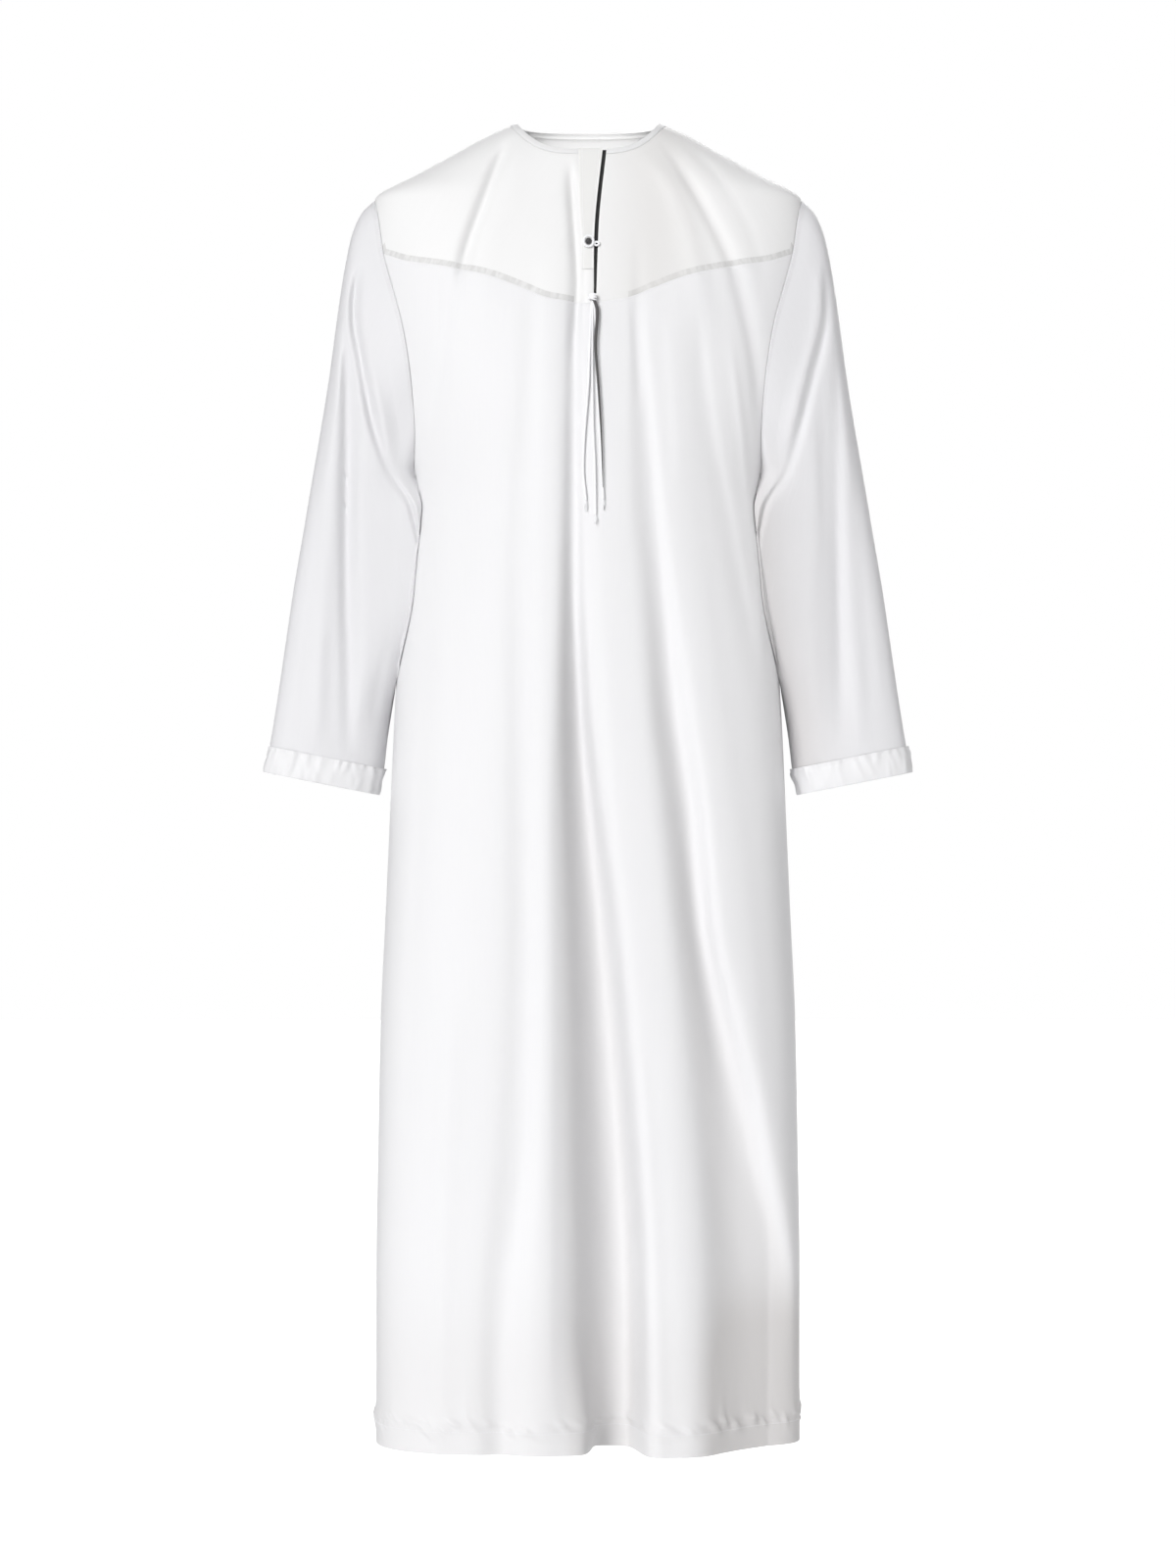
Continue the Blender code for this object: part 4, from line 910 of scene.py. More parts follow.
def shell(name, node, points, wall, material, wrap=False, seam=None, shade=None, lift=0.0):
    """A thin closed shell on a grid of outer points.

    seam is each point's distance from a doubled edge, and shade how much painted shade darkens it, from 0 to
    1.
    """
    normals, sign = normals_of(points, wrap)
    outer = points + normals * lift
    inner = outer - normals * np.asarray(wall)[..., None]
    rows, columns = points.shape[:2]
    index = np.arange(rows * columns).reshape(rows, columns)
    if wrap:
        index = np.concatenate((index, index[:, :1]), axis=1)
    a, b, c, d = index[:-1, :-1], index[1:, :-1], index[1:, 1:], index[:-1, 1:]
    front = np.stack((a, d, c, b) if sign > 0 else (a, b, c, d), axis=-1).reshape(-1, 4)
    under = rows * columns
    faces = [front, front[:, ::-1] + under]
    borders = [index[0], index[-1][::-1]]
    if not wrap:
        borders += [index[::-1, 0], index[:, -1]]
    for line in borders:
        p, q = line[:-1], line[1:]
        wall_faces = np.stack((p, q, q + under, p + under), axis=-1)
        faces.append(wall_faces[:, ::-1] if sign > 0 else wall_faces)
    faces = np.concatenate(faces)
    mesh = bpy.data.meshes.new(name)
    both = np.concatenate((outer.reshape(-1, 3), inner.reshape(-1, 3)))
    mesh.from_pydata(both.tolist(), [], faces.tolist())
    uv = np.tile(uv_of(points, wrap).reshape(-1, 2), (2, 1))
    layer = mesh.uv_layers.new(name="cloth")
    layer.data.foreach_set("uv", uv[faces.reshape(-1)].ravel().astype(np.float32))
    far = np.ones(points.shape[:2]) if seam is None else seam
    dark = np.zeros(points.shape[:2]) if shade is None else shade
    for label, values in (("seam", far), ("shade", dark)):
        attribute = mesh.attributes.new(label, "FLOAT", "POINT")
        attribute.data.foreach_set("value", np.tile(values.reshape(-1), 2).astype(np.float32))
    piece = dress(name, mesh, material, node)
    mesh.set_sharp_from_angle(angle=math.radians(SHARP_ANGLE))
    return piece


def roll_edges(points, normals, bottom=True, sides=True):
    """Moves the outer edges of a grid inward, as cloth dips into a seam."""
    dips = np.zeros(points.shape[:2])
    for edge, next_in in ((0, 1), (-1, -2)) if bottom else ((0, 1),):
        dips[edge] += SEAM_DIP
        dips[next_in] += SEAM_DIP * NEXT_DIP
    if sides:
        for edge, next_in in ((0, 1), (-1, -2)):
            dips[:, edge] = np.maximum(dips[:, edge], SEAM_DIP)
            dips[:, next_in] = np.maximum(dips[:, next_in], SEAM_DIP * NEXT_DIP)
    return points - normals * np.minimum(dips, SEAM_DIP)[..., None]


def pucker_line(kind, length, seed):
    """Uneven small ridges that cross a line of stitches, as doubled cloth draws up."""
    chance = np.random.default_rng(seed)
    puckers = []
    u = 0.0
    while u < length:
        u += kind.spacing * chance.uniform(*PUCKER_STEP)
        puckers.append(Pucker(u, kind.level + chance.uniform(*PUCKER_SHIFT),
                              chance.uniform(kind.low_tilt, kind.high_tilt),
                              chance.uniform(*PUCKER_LENGTH), chance.uniform(*PUCKER_WIDTH),
                              kind.height * chance.uniform(*PUCKER_SHARE)))
    return puckers


def pucker_push(puckers, u, v):
    """How far the puckers raise each point of a band, whose u runs along it and v up it."""
    total = np.zeros_like(u)
    for pucker in puckers:
        angle = math.radians(pucker.tilt)
        du = u - pucker.u
        dv = v - pucker.v
        along = du * math.cos(angle) + dv * math.sin(angle)
        across = dv * math.cos(angle) - du * math.sin(angle)
        total += pucker.height * np.exp(-((along / pucker.length) ** 2) - (across / pucker.width) ** 2)
    return total


def unit(vectors):
    """The vectors at a length of 1."""
    return vectors / np.linalg.norm(vectors, axis=-1, keepdims=True)


def stitches(name, line, normals, kind):
    """One joined mesh of stitches along a line of points on the cloth."""
    line = line + normals * kind.lift
    lengths = lengths_of(line)
    count = max(1, int(lengths[-1] / kind.pitch))
    middles = (np.arange(count) + 0.5) * lengths[-1] / count
    reach = 0.3 * kind.pitch
    centre = at_lengths(line, lengths, middles)
    along = unit(at_lengths(line, lengths, middles + reach) - at_lengths(line, lengths, middles - reach))
    up = unit(at_lengths(normals, lengths, middles))
    across = np.cross(along, up)
    points = []
    for ring in STITCH_RINGS:
        for turn in 2 * np.pi * np.arange(STITCH_SIDES) / STITCH_SIDES:
            wide = math.cos(turn) * ring.swell * kind.radius * STITCH_SPREAD
            high = (math.sin(turn) * ring.swell + ring.rise) * kind.radius
            points.append(centre + along * (ring.place * kind.length) + across * wide + up * high)
    points = np.stack(points, axis=1)
    faces = []
    for r in range(len(STITCH_RINGS) - 1):
        for k in range(STITCH_SIDES):
            n = (k + 1) % STITCH_SIDES
            low, high = r * STITCH_SIDES, (r + 1) * STITCH_SIDES
            faces.append((low + k, low + n, high + n, high + k))
    each = len(STITCH_RINGS) * STITCH_SIDES
    faces += [tuple(reversed(range(STITCH_SIDES))), tuple(range(each - STITCH_SIDES, each))]
    every = [tuple(i + s * each for i in face) for s in range(count) for face in faces]
    return plain_piece(name, points.reshape(-1, 3), every, "stitch")


def plain_piece(name, points, faces, material, node=None):
    """A smooth piece from points and faces."""
    mesh = bpy.data.meshes.new(name)
    mesh.from_pydata(np.asarray(points).tolist(), [], [tuple(int(i) for i in face) for face in faces])
    return dress(name, mesh, material, node)


def across_path(path):
    """Two unit vectors at right angles to a path at each of its points, and to each other."""
    along = unit(np.gradient(path, axis=0))
    side = unit(np.cross(along, (0.0, 1.0, 0.03)))
    return side, np.cross(side, along)


def tubes(paths, radii, sides):
    """Points and faces of round tubes along paths, joined in one list."""
    points, faces, base = [], [], 0
    turn = 2 * np.pi * np.arange(sides) / sides
    for path, radius in zip(paths, radii):
        side, up = across_path(path)
        radius = np.broadcast_to(radius, len(path))[:, None, None]
        ring = (path[:, None] + side[:, None] * (np.cos(turn)[None, :, None] * radius)
                + up[:, None] * (np.sin(turn)[None, :, None] * radius))
        points.append(ring.reshape(-1, 3))
        for low in range(base, base + (len(path) - 1) * sides, sides):
            high = low + sides
            for k in range(sides):
                m = (k + 1) % sides
                faces.append((low + k, low + m, high + m, high + k))
        faces.append(tuple(base + k for k in reversed(range(sides))))
        base += len(path) * sides
        faces.append(tuple(range(base - sides, base)))
    return np.concatenate(points), faces


def twisted(path, radius, plies, turns_per_metre):
    """Paths of the plies that wind round each other along a cord."""
    lengths = lengths_of(path)
    count = max(8, int(lengths[-1] * turns_per_metre * POINTS_PER_TURN))
    place = np.linspace(0, lengths[-1], count)
    dense = at_lengths(path, lengths, place)
    side, up = across_path(dense)
    result = []
    for ply in range(plies):
        phase = 2 * np.pi * (place * turns_per_metre + ply / plies)
        result.append(dense + (side * np.cos(phase)[:, None] + up * np.sin(phase)[:, None]) * radius * 0.5)
    return result


def plug(tree, socket, value):
    """Links an input to another node's output, or gives it a value. Colours have three numbers."""
    if isinstance(value, bpy.types.NodeSocket):
        tree.links.new(value, socket)
    else:
        socket.default_value = (*value, 1.0) if socket.type == "RGBA" else value


def add(tree, kind, inputs=None, **settings):
    """A node of the given kind, with its settings and its inputs."""
    node = tree.nodes.new("ShaderNode" + kind)
    for key, value in settings.items():
        setattr(node, key, value)
    for key, value in (inputs or {}).items():
        plug(tree, node.inputs[key], value)
    return node


def new_material(name):
    """A new material with its tree and Principled shader."""
    material = bpy.data.materials.new(name)
    material.use_nodes = True
    return material, material.node_tree, material.node_tree.nodes["Principled BSDF"]


def set_inputs(tree, node, inputs):
    """Gives several inputs of a node their values."""
    for key, value in inputs.items():
        plug(tree, node.inputs[key], value)


def calculate(tree, operation, a, b):
    """A Math node's output."""
    return add(tree, "Math", {0: a, 1: b}, operation=operation).outputs[0]


def mix_colour(tree, factor, low, high):
    """A mix of two colours."""
    inputs = {"Factor": factor, "A": low, "B": high}
    return add(tree, "Mix", inputs, data_type="RGBA").outputs["Result"]


def scaled_noise(tree, coordinates, scale, detail, roughness):
    """Noise over coordinates stretched by a scale for each axis."""
    mapping = add(tree, "Mapping", {"Scale": scale, "Vector": coordinates})
    inputs = {"Scale": 1.0, "Detail": detail, "Roughness": roughness, "Vector": mapping.outputs["Vector"]}
    return add(tree, "TexNoise", inputs).outputs["Fac"]


def weave_height(tree, coordinates, pitch):
    """The height of a plain weave: two sets of threads at right angles."""
    inputs = {"Scale": WAVE_PERIOD / pitch, "Distortion": 0.6, "Detail": 1.0, "Detail Scale": 0.4,
              "Vector": coordinates}
    heights = [add(tree, "TexWave", inputs, wave_type="BANDS", bands_direction=way).outputs["Fac"]
               for way in ("X", "Y")]
    return calculate(tree, "MAXIMUM", *heights)


def cloth_material(name, light, shade, edge_shade, through, roughness, sheen, pitch=THREAD_PITCH):
    """Fine woven cloth. edge_shade tints it over a doubled edge, and painted shade darkens it by its shade
    attribute; through is how much light passes it.
    """
    material, tree, shader = new_material(name)
    uv = add(tree, "UVMap", uv_map="cloth").outputs["UV"]
    slub = scaled_noise(tree, uv, (900.0, 14.0, 1.0), 2.0, 0.6)
    cloud = scaled_noise(tree, uv, (9.0, 5.0, 1.0), 3.0, 0.5)
    streaks = calculate(tree, "MULTIPLY", slub, 0.55)
    mottle = calculate(tree, "ADD", streaks, calculate(tree, "MULTIPLY", cloud, 0.45))
    colour = mix_colour(tree, mottle, shade, light)
    seam = add(tree, "Attribute", attribute_name="seam").outputs["Fac"]
    ragged = calculate(tree, "MULTIPLY", calculate(tree, "SUBTRACT", cloud, 0.5), 2 * RAGGED)
    band = add(tree, "MapRange", {"Value": calculate(tree, "ADD", seam, ragged),
                                  "From Min": SEAM_ALLOWANCE + RAGGED, "From Max": SEAM_ALLOWANCE - RAGGED},
               interpolation_type="SMOOTHSTEP")
    spots = scaled_noise(tree, uv, (150.0, 60.0, 1.0), 2.0, 0.6)
    patches = add(tree, "MapRange", {"Value": spots, "From Min": 0.36, "From Max": 0.60, "To Min": 0.45})
    broken = calculate(tree, "MULTIPLY", band.outputs["Result"], patches.outputs["Result"])
    colour = mix_colour(tree, broken, colour, edge_shade)
    # Painted shade: the shade attribute darkens the colour where shade falls
    painted_shade_amount = add(tree, "Attribute", attribute_name="shade").outputs["Fac"]
    colour = mix_colour(tree, painted_shade_amount, colour, tuple(a * b for a, b in zip(PAINTED_SHADE_TINT, shade)))
    crumple = scaled_noise(tree, uv, (70.0, 34.0, 1.0), 3.0, 0.55)
    soft = add(tree, "Bump", {"Strength": 0.35, "Distance": 0.0007, "Height": crumple})
    threads = calculate(tree, "ADD", weave_height(tree, uv, pitch), calculate(tree, "MULTIPLY", slub, 0.8))
    fine = add(tree, "Bump", {"Strength": 0.22, "Distance": 0.00012, "Height": threads,
                              "Normal": soft.outputs["Normal"]}).outputs["Normal"]
    rough = calculate(tree, "ADD", calculate(tree, "MULTIPLY", slub, 0.16), roughness - 0.08)
    set_inputs(tree, shader, {"Base Color": colour, "Roughness": rough, "Normal": fine})
    shader.inputs["Sheen Weight"].default_value = sheen
    shader.inputs["Sheen Roughness"].default_value = 0.45
    shader.inputs["Specular IOR Level"].default_value = 0.35
    if through > 0.0:
        glow = add(tree, "BsdfTranslucent", {"Color": colour, "Normal": fine})
        mix = add(tree, "MixShader", {"Fac": through, 1: shader.outputs["BSDF"], 2: glow.outputs["BSDF"]})
        tree.links.new(mix.outputs["Shader"], tree.nodes["Material Output"].inputs["Surface"])
    return material


def thread_material(name, light, shade, roughness, scale):
    """Twisted or plaited thread, mottled along its length."""
    material, tree, shader = new_material(name)
    place = add(tree, "TexCoord").outputs["Object"]
    grain = scaled_noise(tree, place, (scale, scale, scale * 0.4), 3.0, 0.6)
    rough = calculate(tree, "ADD", calculate(tree, "MULTIPLY", grain, 0.2), roughness - 0.1)
    bump = add(tree, "Bump", {"Strength": 0.4, "Distance": 0.0002, "Height": grain})
    set_inputs(tree, shader, {"Base Color": mix_colour(tree, grain, shade, light), "Roughness": rough,
                              "Normal": bump.outputs["Normal"]})
    shader.inputs["Sheen Weight"].default_value = 0.2
    return material


MATERIALS = {
    "cloth": cloth_material("white_voile", (0.86, 0.857, 0.866), (0.815, 0.812, 0.823), (0.78, 0.776, 0.784),
                            0.10, 0.52, 0.25),
    "sleeve": cloth_material("single_voile", (0.8, 0.797, 0.812), (0.755, 0.751, 0.768), (0.74, 0.735, 0.75),
                             0.10, 0.52, 0.25),
    "yoke": cloth_material("doubled_voile", (0.85, 0.848, 0.847), (0.805, 0.802, 0.8), (0.65, 0.645, 0.64),
                           0.05, 0.55, 0.22),
    "binding": cloth_material("binding_voile", (0.79, 0.788, 0.79), (0.745, 0.742, 0.745), (0.71, 0.705, 0.7),
                              0.05, 0.55, 0.22),
    "back_yoke": cloth_material("back_yoke_voile", (0.85, 0.848, 0.847), (0.805, 0.802, 0.8),
                                (0.71, 0.705, 0.7), 0.20, 0.55, 0.22),
    "placket": cloth_material("placket_cloth", (0.765, 0.762, 0.751), (0.73, 0.726, 0.713),
                              (0.88, 0.875, 0.865), 0.0, 0.62, 0.15),
    # Painted shadow: the dark tape behind the slit stands for the shade in its gap
    "dark": cloth_material("dark_tape", (0.03, 0.029, 0.029), (0.016, 0.015, 0.015), (0.03, 0.03, 0.03),
                           0.0, 0.72, 0.05, 0.0008),
    "stitch": thread_material("white_thread", (0.93, 0.93, 0.94), (0.80, 0.80, 0.83), 0.5, 3000.0),
    "cord": thread_material("white_cord", (0.95, 0.95, 0.955), (0.84, 0.84, 0.86), 0.55, 1400.0),
    # Painted shadow: the dark thread beside the tassel's cords
    "painted_cord_shadow": thread_material("painted_cord_shadow", (0.09, 0.085, 0.085), (0.03, 0.028, 0.03), 0.6, 1800.0),
    "button": thread_material("dark_ball", (0.04, 0.038, 0.04), (0.015, 0.014, 0.016), 0.35, 900.0),
}


def distance_rows(points, from_top):
    """Each point's distance along its column from the grid's first or last row."""
    down = np.linalg.norm(np.diff(points, axis=0), axis=-1)
    total = np.concatenate((np.zeros((1, points.shape[1])), np.cumsum(down, axis=0)))
    return total if from_top else total[-1:] - total


def groove(distance, level, depth, width):
    """A narrow furrow along a line of stitches."""
    return -depth * np.exp(-(((distance - level) / width) ** 2))


def hollow_shade(points, front):
    """How much painted shade darkens each point of a panel, from 0 to 1: in a fold's hollow, in the left
    corner and towards the hem.
    """
    x, z = points[..., 0] + HOLLOW_SHIFT, points[..., 2]
    depth = -(band_push(FRONT_BANDS, x, z) if front else fold_push(BACK_FOLDS, x, z))
    low = smooth((HEM_SHADE_TOP_Z - z) / (HEM_SHADE_TOP_Z - HEM_SHADE_FULL_Z))
    corner = smooth((points[..., 0] - CORNER_SHADE_START_X) / CORNER_SHADE_WIDTH) if front else 0.0
    shade = HOLLOW_SHADE * smooth(depth / HOLLOW_DEPTH) + low * (HEM_SHADE + CORNER_SHADE * corner)
    return np.clip(shade, 0.0, 1.0)


def make_panels():
    """Front and back panels with their turned hems."""
    for front in (True, False):
        part = "front" if front else "back"
        points = panel_points(front)
        normals = normals_of(points)[0]
        below = distance_rows(points, False)
        across = uv_of(points, False)[..., 0]
        along = across - across.min()
        puckers = pucker_line(HEM_PUCKERS, float(along.max()), 11 if front else 12)
        hem = smooth((HEM_DEPTH + HEM_STEP / 2 - below) / HEM_STEP)
        raised = HEM_RISE * hem + pucker_push(puckers, along, below)
        raised = raised + groove(below, HEM_DEPTH, HEM_GROOVE, HEM_GROOVE_WIDTH)
        points = roll_edges(points + normals * raised[..., None], normals, bottom=False)
        wall = blend(CLOTH, DOUBLED_CLOTH, hem)
        piece = shell(part + "_panel_cloth", part + "_panel", points, wall, "cloth",
                      shade=hollow_shade(points, front))
        row = int(np.argmin(np.abs(below[:, points.shape[1] // 2] - HEM_DEPTH)))
        threads = [stitches(part + "_hem_stitches", points[row], normals[row], HEM_STITCH),
                   stitches(part + "_yoke_stitches", points[2], normals[2], SEAM_STITCH)]


def make_yokes():
    """Two front yokes, the back yoke and the neck binding. Gives the pieces whose inside shows."""
    grids = {(front, side): yoke_rings(front, side, yoke_parts) for front in (True, False) for side in NAMES}
    for side, name in NAMES.items():
        points = grids[True, side]
        points = roll_edges(points, normals_of(points)[0])
        along_seam = np.arange(points.shape[1]) < points.shape[1] - YOKE_ARMHOLE_CELLS
        shown = along_seam & ((points[-1, :, 0] < SEAM_BARE_LOW_X) | (points[-1, :, 0] > SEAM_BARE_HIGH_X))
        seam = np.where(shown, distance_rows(points, False), 1.0)
        # Painted shade over the left yoke, which lies in shade
        shade = YOKE_SHADE * np.exp(-(((points[..., 0] - YOKE_SHADE_X) / YOKE_SHADE_WIDTH) ** 2))
        piece = shell("front_yoke_" + name + "_cloth", "front_yoke_" + name, points, CLOTH,
                      "yoke", seam=seam, shade=shade)
    points = np.concatenate((grids[False, -1][:, ::-1], grids[False, 1][:, 1:]), axis=1)
    points = roll_edges(points, normals_of(points)[0])
    piece = shell("back_yoke_cloth", "back_yoke", points, CLOTH, "back_yoke",
                  seam=distance_rows(points, False))
    return [piece, make_binding()]


def make_binding():
    """The neck binding in three shells, from the slit over the back, with its stitches."""
    quarters = [yoke_rings(front, side, binding_parts)
                for front, side in ((True, 1), (False, 1), (False, -1), (True, -1))]
    line = np.concatenate((quarters[0], quarters[1][:, -2::-1], quarters[2][:, 1:], quarters[3][:, -2::-1]),
                          axis=1)
    normals = normals_of(line)[0]
    swell = BINDING_SWELL * np.sin(np.pi * np.clip(np.linspace(0.0, 1.0, len(line)), 0.06, 0.97)) ** 0.5
    points = line + normals * (swell - BINDING_SINK)[:, None, None]
    first = quarters[0].shape[1] - 1
    last = points.shape[1] - quarters[3].shape[1]
    made = [shell("neck_binding_" + part + "_cloth", "neck_binding", columns, DOUBLED_CLOTH,
                  material)
            for part, columns, material in (("left", points[:, :first + 1], "binding"),
                                            ("back", points[:, first:last + 1], "back_yoke"),
                                            ("right", points[:, last:], "binding"))]
    stitches("neck_stitches", points[BINDING_STITCH_ROW], normals[BINDING_STITCH_ROW], FINE_STITCH)
    return made[1]


def round_stitches(name, points, normals, row, kind):
    """Stitches all round a tube, on one of its rings."""
    ring, up = points[row], normals[row]
    return stitches(name, np.concatenate((ring, ring[:1])), np.concatenate((up, up[:1])), kind)


def make_sleeves():
    """Sleeves with their cuffs and the stitches round both."""
    for side, name in NAMES.items():
        points, turns = sleeve_points(side)
        normals = normals_of(points, True)[0]
        points = roll_edges(points, normals, sides=False)
        # Painted shade on the left sleeve's inner front, where the body shades it
        inner = np.exp(-(((np.degrees(turns) % 360.0 - SLEEVE_SHADE_ANGLE) / SLEEVE_SHADE_WIDTH) ** 2))
        level = smooth((SLEEVE_SHADE_TOP_Z - points[..., 2]) / SLEEVE_SHADE_FADE)
        shade = (SLEEVE_SHADE if side > 0 else 0.0) * inner * level
        piece = shell("sleeve_" + name + "_cloth", "sleeve_" + name, points, CLOTH, "sleeve",
                      wrap=True, seam=distance_rows(points, True), shade=shade)
        thread = round_stitches("armhole_stitches_" + name, points, normals, 2, ARMHOLE_STITCH)
        make_cuff(side, name)


def make_cuff(side, name):
    """A doubled, puckered band at the end of a sleeve."""
    points = cuff_points(side)
    normals = normals_of(points, True)[0]
    u = np.cumsum(np.linalg.norm(np.roll(points, -1, axis=1) - points, axis=-1), axis=1)
    v = distance_rows(points, False)
    puckers = pucker_line(CUFF_TOP_PUCKERS, float(u.max()), 21 + side)
    puckers += pucker_line(CUFF_END_PUCKERS, float(u.max()), 31 + side)
    crown = CUFF_CROWN * np.sin(np.pi * np.clip(v / v.max(), 0.02, 0.98)) ** 0.4
    raised = crown + groove(v, CUFF_TOP, CUFF_GROOVE, CUFF_GROOVE_WIDTH) + pucker_push(puckers, u, v)
    points = points + normals * raised[..., None]
    seam = np.where(v < CUFF_RIM, 0.0, 1.0)
    piece = shell("cuff_" + name + "_cloth", "cuff_" + name, points, DOUBLED_CLOTH, "cloth",
                  wrap=True, seam=seam)
    for label, level in (("top", CUFF_TOP), ("end", CUFF_END)):
        row = int(np.argmin(np.abs(v[:, 0] - level)))
        round_stitches(f"cuff_{label}_stitches_{name}", points, normals, row, SEAM_STITCH)


def strip_width(z):
    """Width of the tapering strip beside the slit."""
    return blend(STRIP_TOP_WIDTH, STRIP_LOW_WIDTH, np.clip(z / STRIP_TAPER_Z, 0.0, 1.0))


def make_placket():
    """The strip beside the slit, a dark tape behind it that paints the shadow in the slit's gap, and their
    stitches.
    """
    lines = (0.0, 0.0007, 0.0018)
    z = -NECK_DROP + blend(0.0, STRIP_END_Z + NECK_DROP, stations(40, 0.135, EDGE_LINES[:3], EDGE_LINES[:3]))
    shares = stations(14, 0.02, lines, lines)
    x = slit_edge(z, -1)[:, None] - strip_width(z)[:, None] * (1.0 - shares)[None, :]
    drop = neck_height(x, True) + NECK_DROP
    z_grid = z[:, None] + drop * np.clip(1.0 - (-NECK_DROP - z)[:, None] / STRIP_NECK_FADE, 0.0, 1.0)
    points = body(x, z_grid, True)
    normals = normals_of(points)[0]
    rounded = np.full(points.shape[:2], SEAM_GAP + STRIP_CLOTH)
    for edge in (0, -1):
        rounded[edge, :] -= STRIP_ROUNDING
        rounded[:, edge] -= STRIP_ROUNDING
    points = points + normals * rounded[..., None]
    seam = np.where(np.abs(points[..., 0] - points[:, -1:, 0]) < STRIP_FOLD, 0.0, 1.0)
    shell("placket_strip_cloth", "placket_strip", points, STRIP_CLOTH - 0.0002, "placket",
          seam=seam)
    for label, column in (("inner", -4), ("outer", 3)):
        stitches(f"placket_{label}_stitches", points[:, column], normals[:, column], FINE_STITCH)
    # Painted shadow: a dark sheet behind the slit stands for the shade in its narrow gap
    heights = np.linspace(-NECK_DROP - 0.0005, YOKE_SEAM[0].z, 60)
    left, right = slit_edge(heights, -1) - UNDERLAP_MARGIN, slit_edge(heights, 1) + UNDERLAP_MARGIN
    x = blend(left[:, None], right[:, None], np.linspace(0, 1, 7))
    shell("placket_slit_shadow_cloth", "placket_underlap", body(x, heights[:, None], True), STRIP_CLOTH,
          "dark", lift=-(CAD_WALL + SEAM_GAP))


def make_loop_and_button():
    """The twisted loop and the small dark ball in it."""
    base = body(LOOP_X, LOOP_Z, True)
    centre = base + np.array((0, -(SEAM_GAP + STRIP_CLOTH + LOOP_CORD + LOOP_LIFT), 0))
    turn = np.linspace(0, 2 * np.pi, 72)
    path = centre + np.stack((np.cos(turn), 0 * turn, np.sin(turn) * LOOP_STRETCH), axis=-1) * LOOP_RADIUS
    points, faces = tubes(twisted(path, LOOP_CORD, 2, LOOP_TWIST), [LOOP_CORD * 0.62] * 2, 8)
    plain_piece("button_loop_cord", points, faces, "cord", "button_loop")
    knot = body(LOOP_KNOT_X, LOOP_KNOT_Z, True) - (0, LOOP_LIFT, 0)
    turns = []
    for tilt in (0.5, -0.6, 0.1):
        flat = np.stack((np.cos(turn), tilt * np.cos(turn), np.sin(turn)), axis=-1) * LOOP_KNOT_RADIUS
        turns.append(knot + flat * (1.2, 0.7, 1.0))
    points, faces = tubes(turns, [LOOP_CORD * 0.8] * 3, 8)
    plain_piece("button_loop_knot", points, faces, "cord")
    rows, columns = 20, 32
    points, faces = [], []
    for polar in np.pi * np.arange(rows + 1) / rows:
        for angle in 2 * np.pi * np.arange(columns) / columns:
            wide, forward = np.sin(polar), np.cos(polar)
            ridge = 1.0 + 0.045 * np.sin(6 * angle + 5 * forward) * wide
            direction = np.array((wide * np.cos(angle), -forward, wide * np.sin(angle)))
            points.append(centre + direction * BUTTON_RADIUS * ridge)
    for low in range(0, rows * columns, columns):
        for j in range(columns):
            k = (j + 1) % columns
            faces.append((low + j, low + k, low + columns + k, low + columns + j))
    plain_piece("button_ball", points, faces, "button", "button")


def cord_path(cord, lift, count=60):
    """Points of a hanging cord, just in front of the cloth."""
    z = np.linspace(cord.z[0], cord.z[-1], count)
    points = body(curve(cord.z, cord.x, z), z, True)
    points[:, 1] -= lift
    return points


def make_tassel():
    """A wound knot with twisted cords, frayed at their ends, and a dark thread beside them that paints their
    shadow on the cloth.
    """
    chance = np.random.default_rng(5)
    centre = body(KNOT_X, KNOT_Z, True) + np.array((0, -KNOT_RADIUS - SEAM_GAP, 0))
    paths, radii = [], []
    for cord in CORDS:
        path = cord_path(cord, CORD_LIFT)
        path[:4] = blend(centre, path[4], np.linspace(0.3, 1.0, 5)[:4, None])
        plies = twisted(path, CORD_RADIUS, 3, CORD_TWIST)
        paths += plies
        radii += [CORD_RADIUS * 0.55] * len(plies)
        for _ in range(FRAY_COUNT):
            fan = chance.normal(0, FRAY_SPREAD, 3) * (1, 0.5, 0.4)
            drop = chance.uniform(*FRAY_LENGTH)
            steps = np.linspace(0, 1, 6)[:, None]
            paths.append(path[-1] + np.array((0, 0, -drop)) * steps + fan * steps ** 1.5)
            radii.append(FRAY_RADIUS)
    turn = np.linspace(0, 2 * np.pi, 40)
    for wind in KNOT_WINDS:
        size = math.sqrt(max(0.0, KNOT_RADIUS ** 2 - wind.level ** 2)) * 0.92
        height = wind.level + np.cos(turn) * wind.tilt * 0.002
        paths.append(centre + np.stack((np.cos(turn) * size, np.sin(turn) * size, height), axis=-1))
        radii.append(WIND_RADIUS)
    points, faces = tubes(paths, radii, 7)
    plain_piece("tassel_cords", points, faces, "cord", "tassel")
    # Painted shadow of the cords: a dark thread beside them
    thread = cord_path(CORD_SHADOW, CORD_LIFT + CORD_RADIUS, 80)
    thick = np.interp(np.linspace(0, 1, len(thread)), (0, 0.25, 0.6, 1.0), CORD_SHADOW_RADII)
    points, faces = tubes([thread], [thick], 8)
    plain_piece("tassel_painted_cord_shadow", points, faces, "painted_cord_shadow")


def link_new(name, data):
    """A new object of the scene that is no piece of the robe."""
    thing = bpy.data.objects.new(name, data)
    bpy.context.scene.collection.objects.link(thing)
    return thing


def make_lamp(lamp):
    """A soft, far lamp."""
    light = bpy.data.lights.new(lamp.name, "SUN")
    light.energy = lamp.strength
    light.angle = math.radians(lamp.spread)
    light.color = lamp.colour
    holder = link_new(lamp.name, light)
    holder.rotation_euler = (math.radians(90.0 - lamp.elevation), 0.0, math.radians(lamp.azimuth))
    return holder


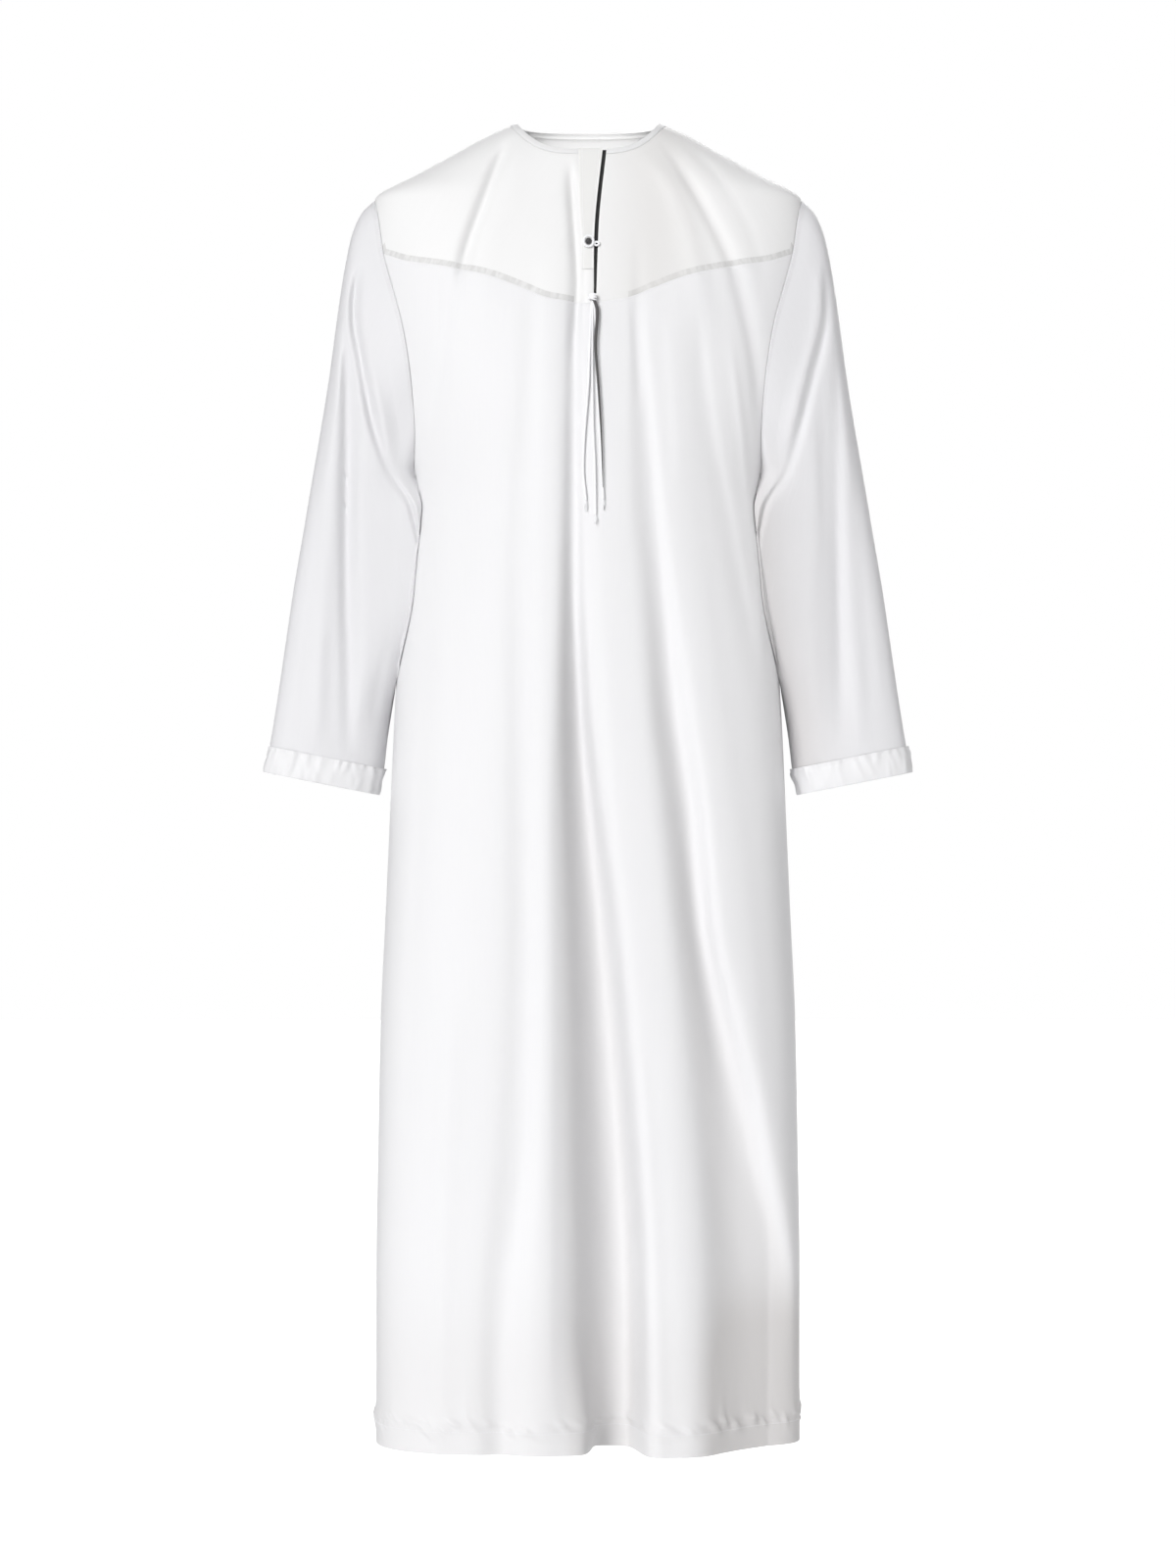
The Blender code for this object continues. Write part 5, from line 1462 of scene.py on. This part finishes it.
def make_stage(neck_inside):
    """A plain pale floor, soft studio lights and the camera. The neck's inside has a lamp of its own."""
    world = bpy.data.worlds.new("studio")
    bpy.context.scene.world = world
    world.use_nodes = True
    tree = world.node_tree
    soft = tree.nodes["Background"]
    set_inputs(tree, soft, {"Color": (0.97, 0.98, 1.0), "Strength": WORLD_LIGHT})
    seen = add(tree, "Background", {"Color": (1.0, 1.0, 1.0)})
    ray = add(tree, "LightPath").outputs["Is Camera Ray"]
    mix = add(tree, "MixShader", {"Fac": ray, 1: soft.outputs["Background"], 2: seen.outputs["Background"]})
    tree.links.new(mix.outputs["Shader"], tree.nodes["World Output"].inputs["Surface"])

    material, tree, shader = new_material("pale_floor")
    place = add(tree, "TexCoord").outputs["Object"]
    grain = scaled_noise(tree, place, (1.5, 1.5, 1.5), 2.0, 0.5)
    ray = add(tree, "LightPath").outputs["Is Camera Ray"]
    glow = calculate(tree, "ADD", calculate(tree, "MULTIPLY", ray, FLOOR_SEEN_GLOW), FLOOR_GLOW)
    pale = mix_colour(tree, grain, (0.84, 0.84, 0.84), (0.86, 0.86, 0.86))
    set_inputs(tree, shader, {"Base Color": pale, "Roughness": 0.9, "Emission Color": (1.0, 1.0, 1.0),
                              "Emission Strength": glow})
    shader.inputs["Specular IOR Level"].default_value = 0.1
    mesh = bpy.data.meshes.new("floor")
    corners = [(x * FLOOR_HALF, y * FLOOR_HALF, FLOOR_Z) for x, y in ((-1, -1), (1, -1), (1, 1), (-1, 1))]
    mesh.from_pydata(corners, [], [(0, 1, 2, 3)])
    mesh.materials.append(material)
    link_new("floor", mesh)

    for lamp in LAMPS:
        make_lamp(lamp)
    receivers = bpy.data.collections.new("neck_inside")
    for piece in neck_inside:
        receivers.objects.link(piece)
    make_lamp(NECK_LAMP).light_linking.receiver_collection = receivers

    camera = link_new("camera", bpy.data.cameras.new("camera"))
    camera.data.sensor_fit = "HORIZONTAL"
    camera.data.sensor_width = SENSOR
    camera.data.lens = SENSOR * CAMERA_DISTANCE / (METRES_PER_PIXEL * PHOTO_WIDTH)
    camera.location = (0.0, -CAMERA_DISTANCE, CAMERA_Z)
    camera.rotation_euler = (math.radians(90), 0, 0)
    bpy.context.scene.camera = camera
    bpy.context.scene.view_settings.view_transform = "Standard"


make_panels()
make_stage(make_yokes())
make_sleeves()
make_placket()
make_loop_and_button()
make_tassel()
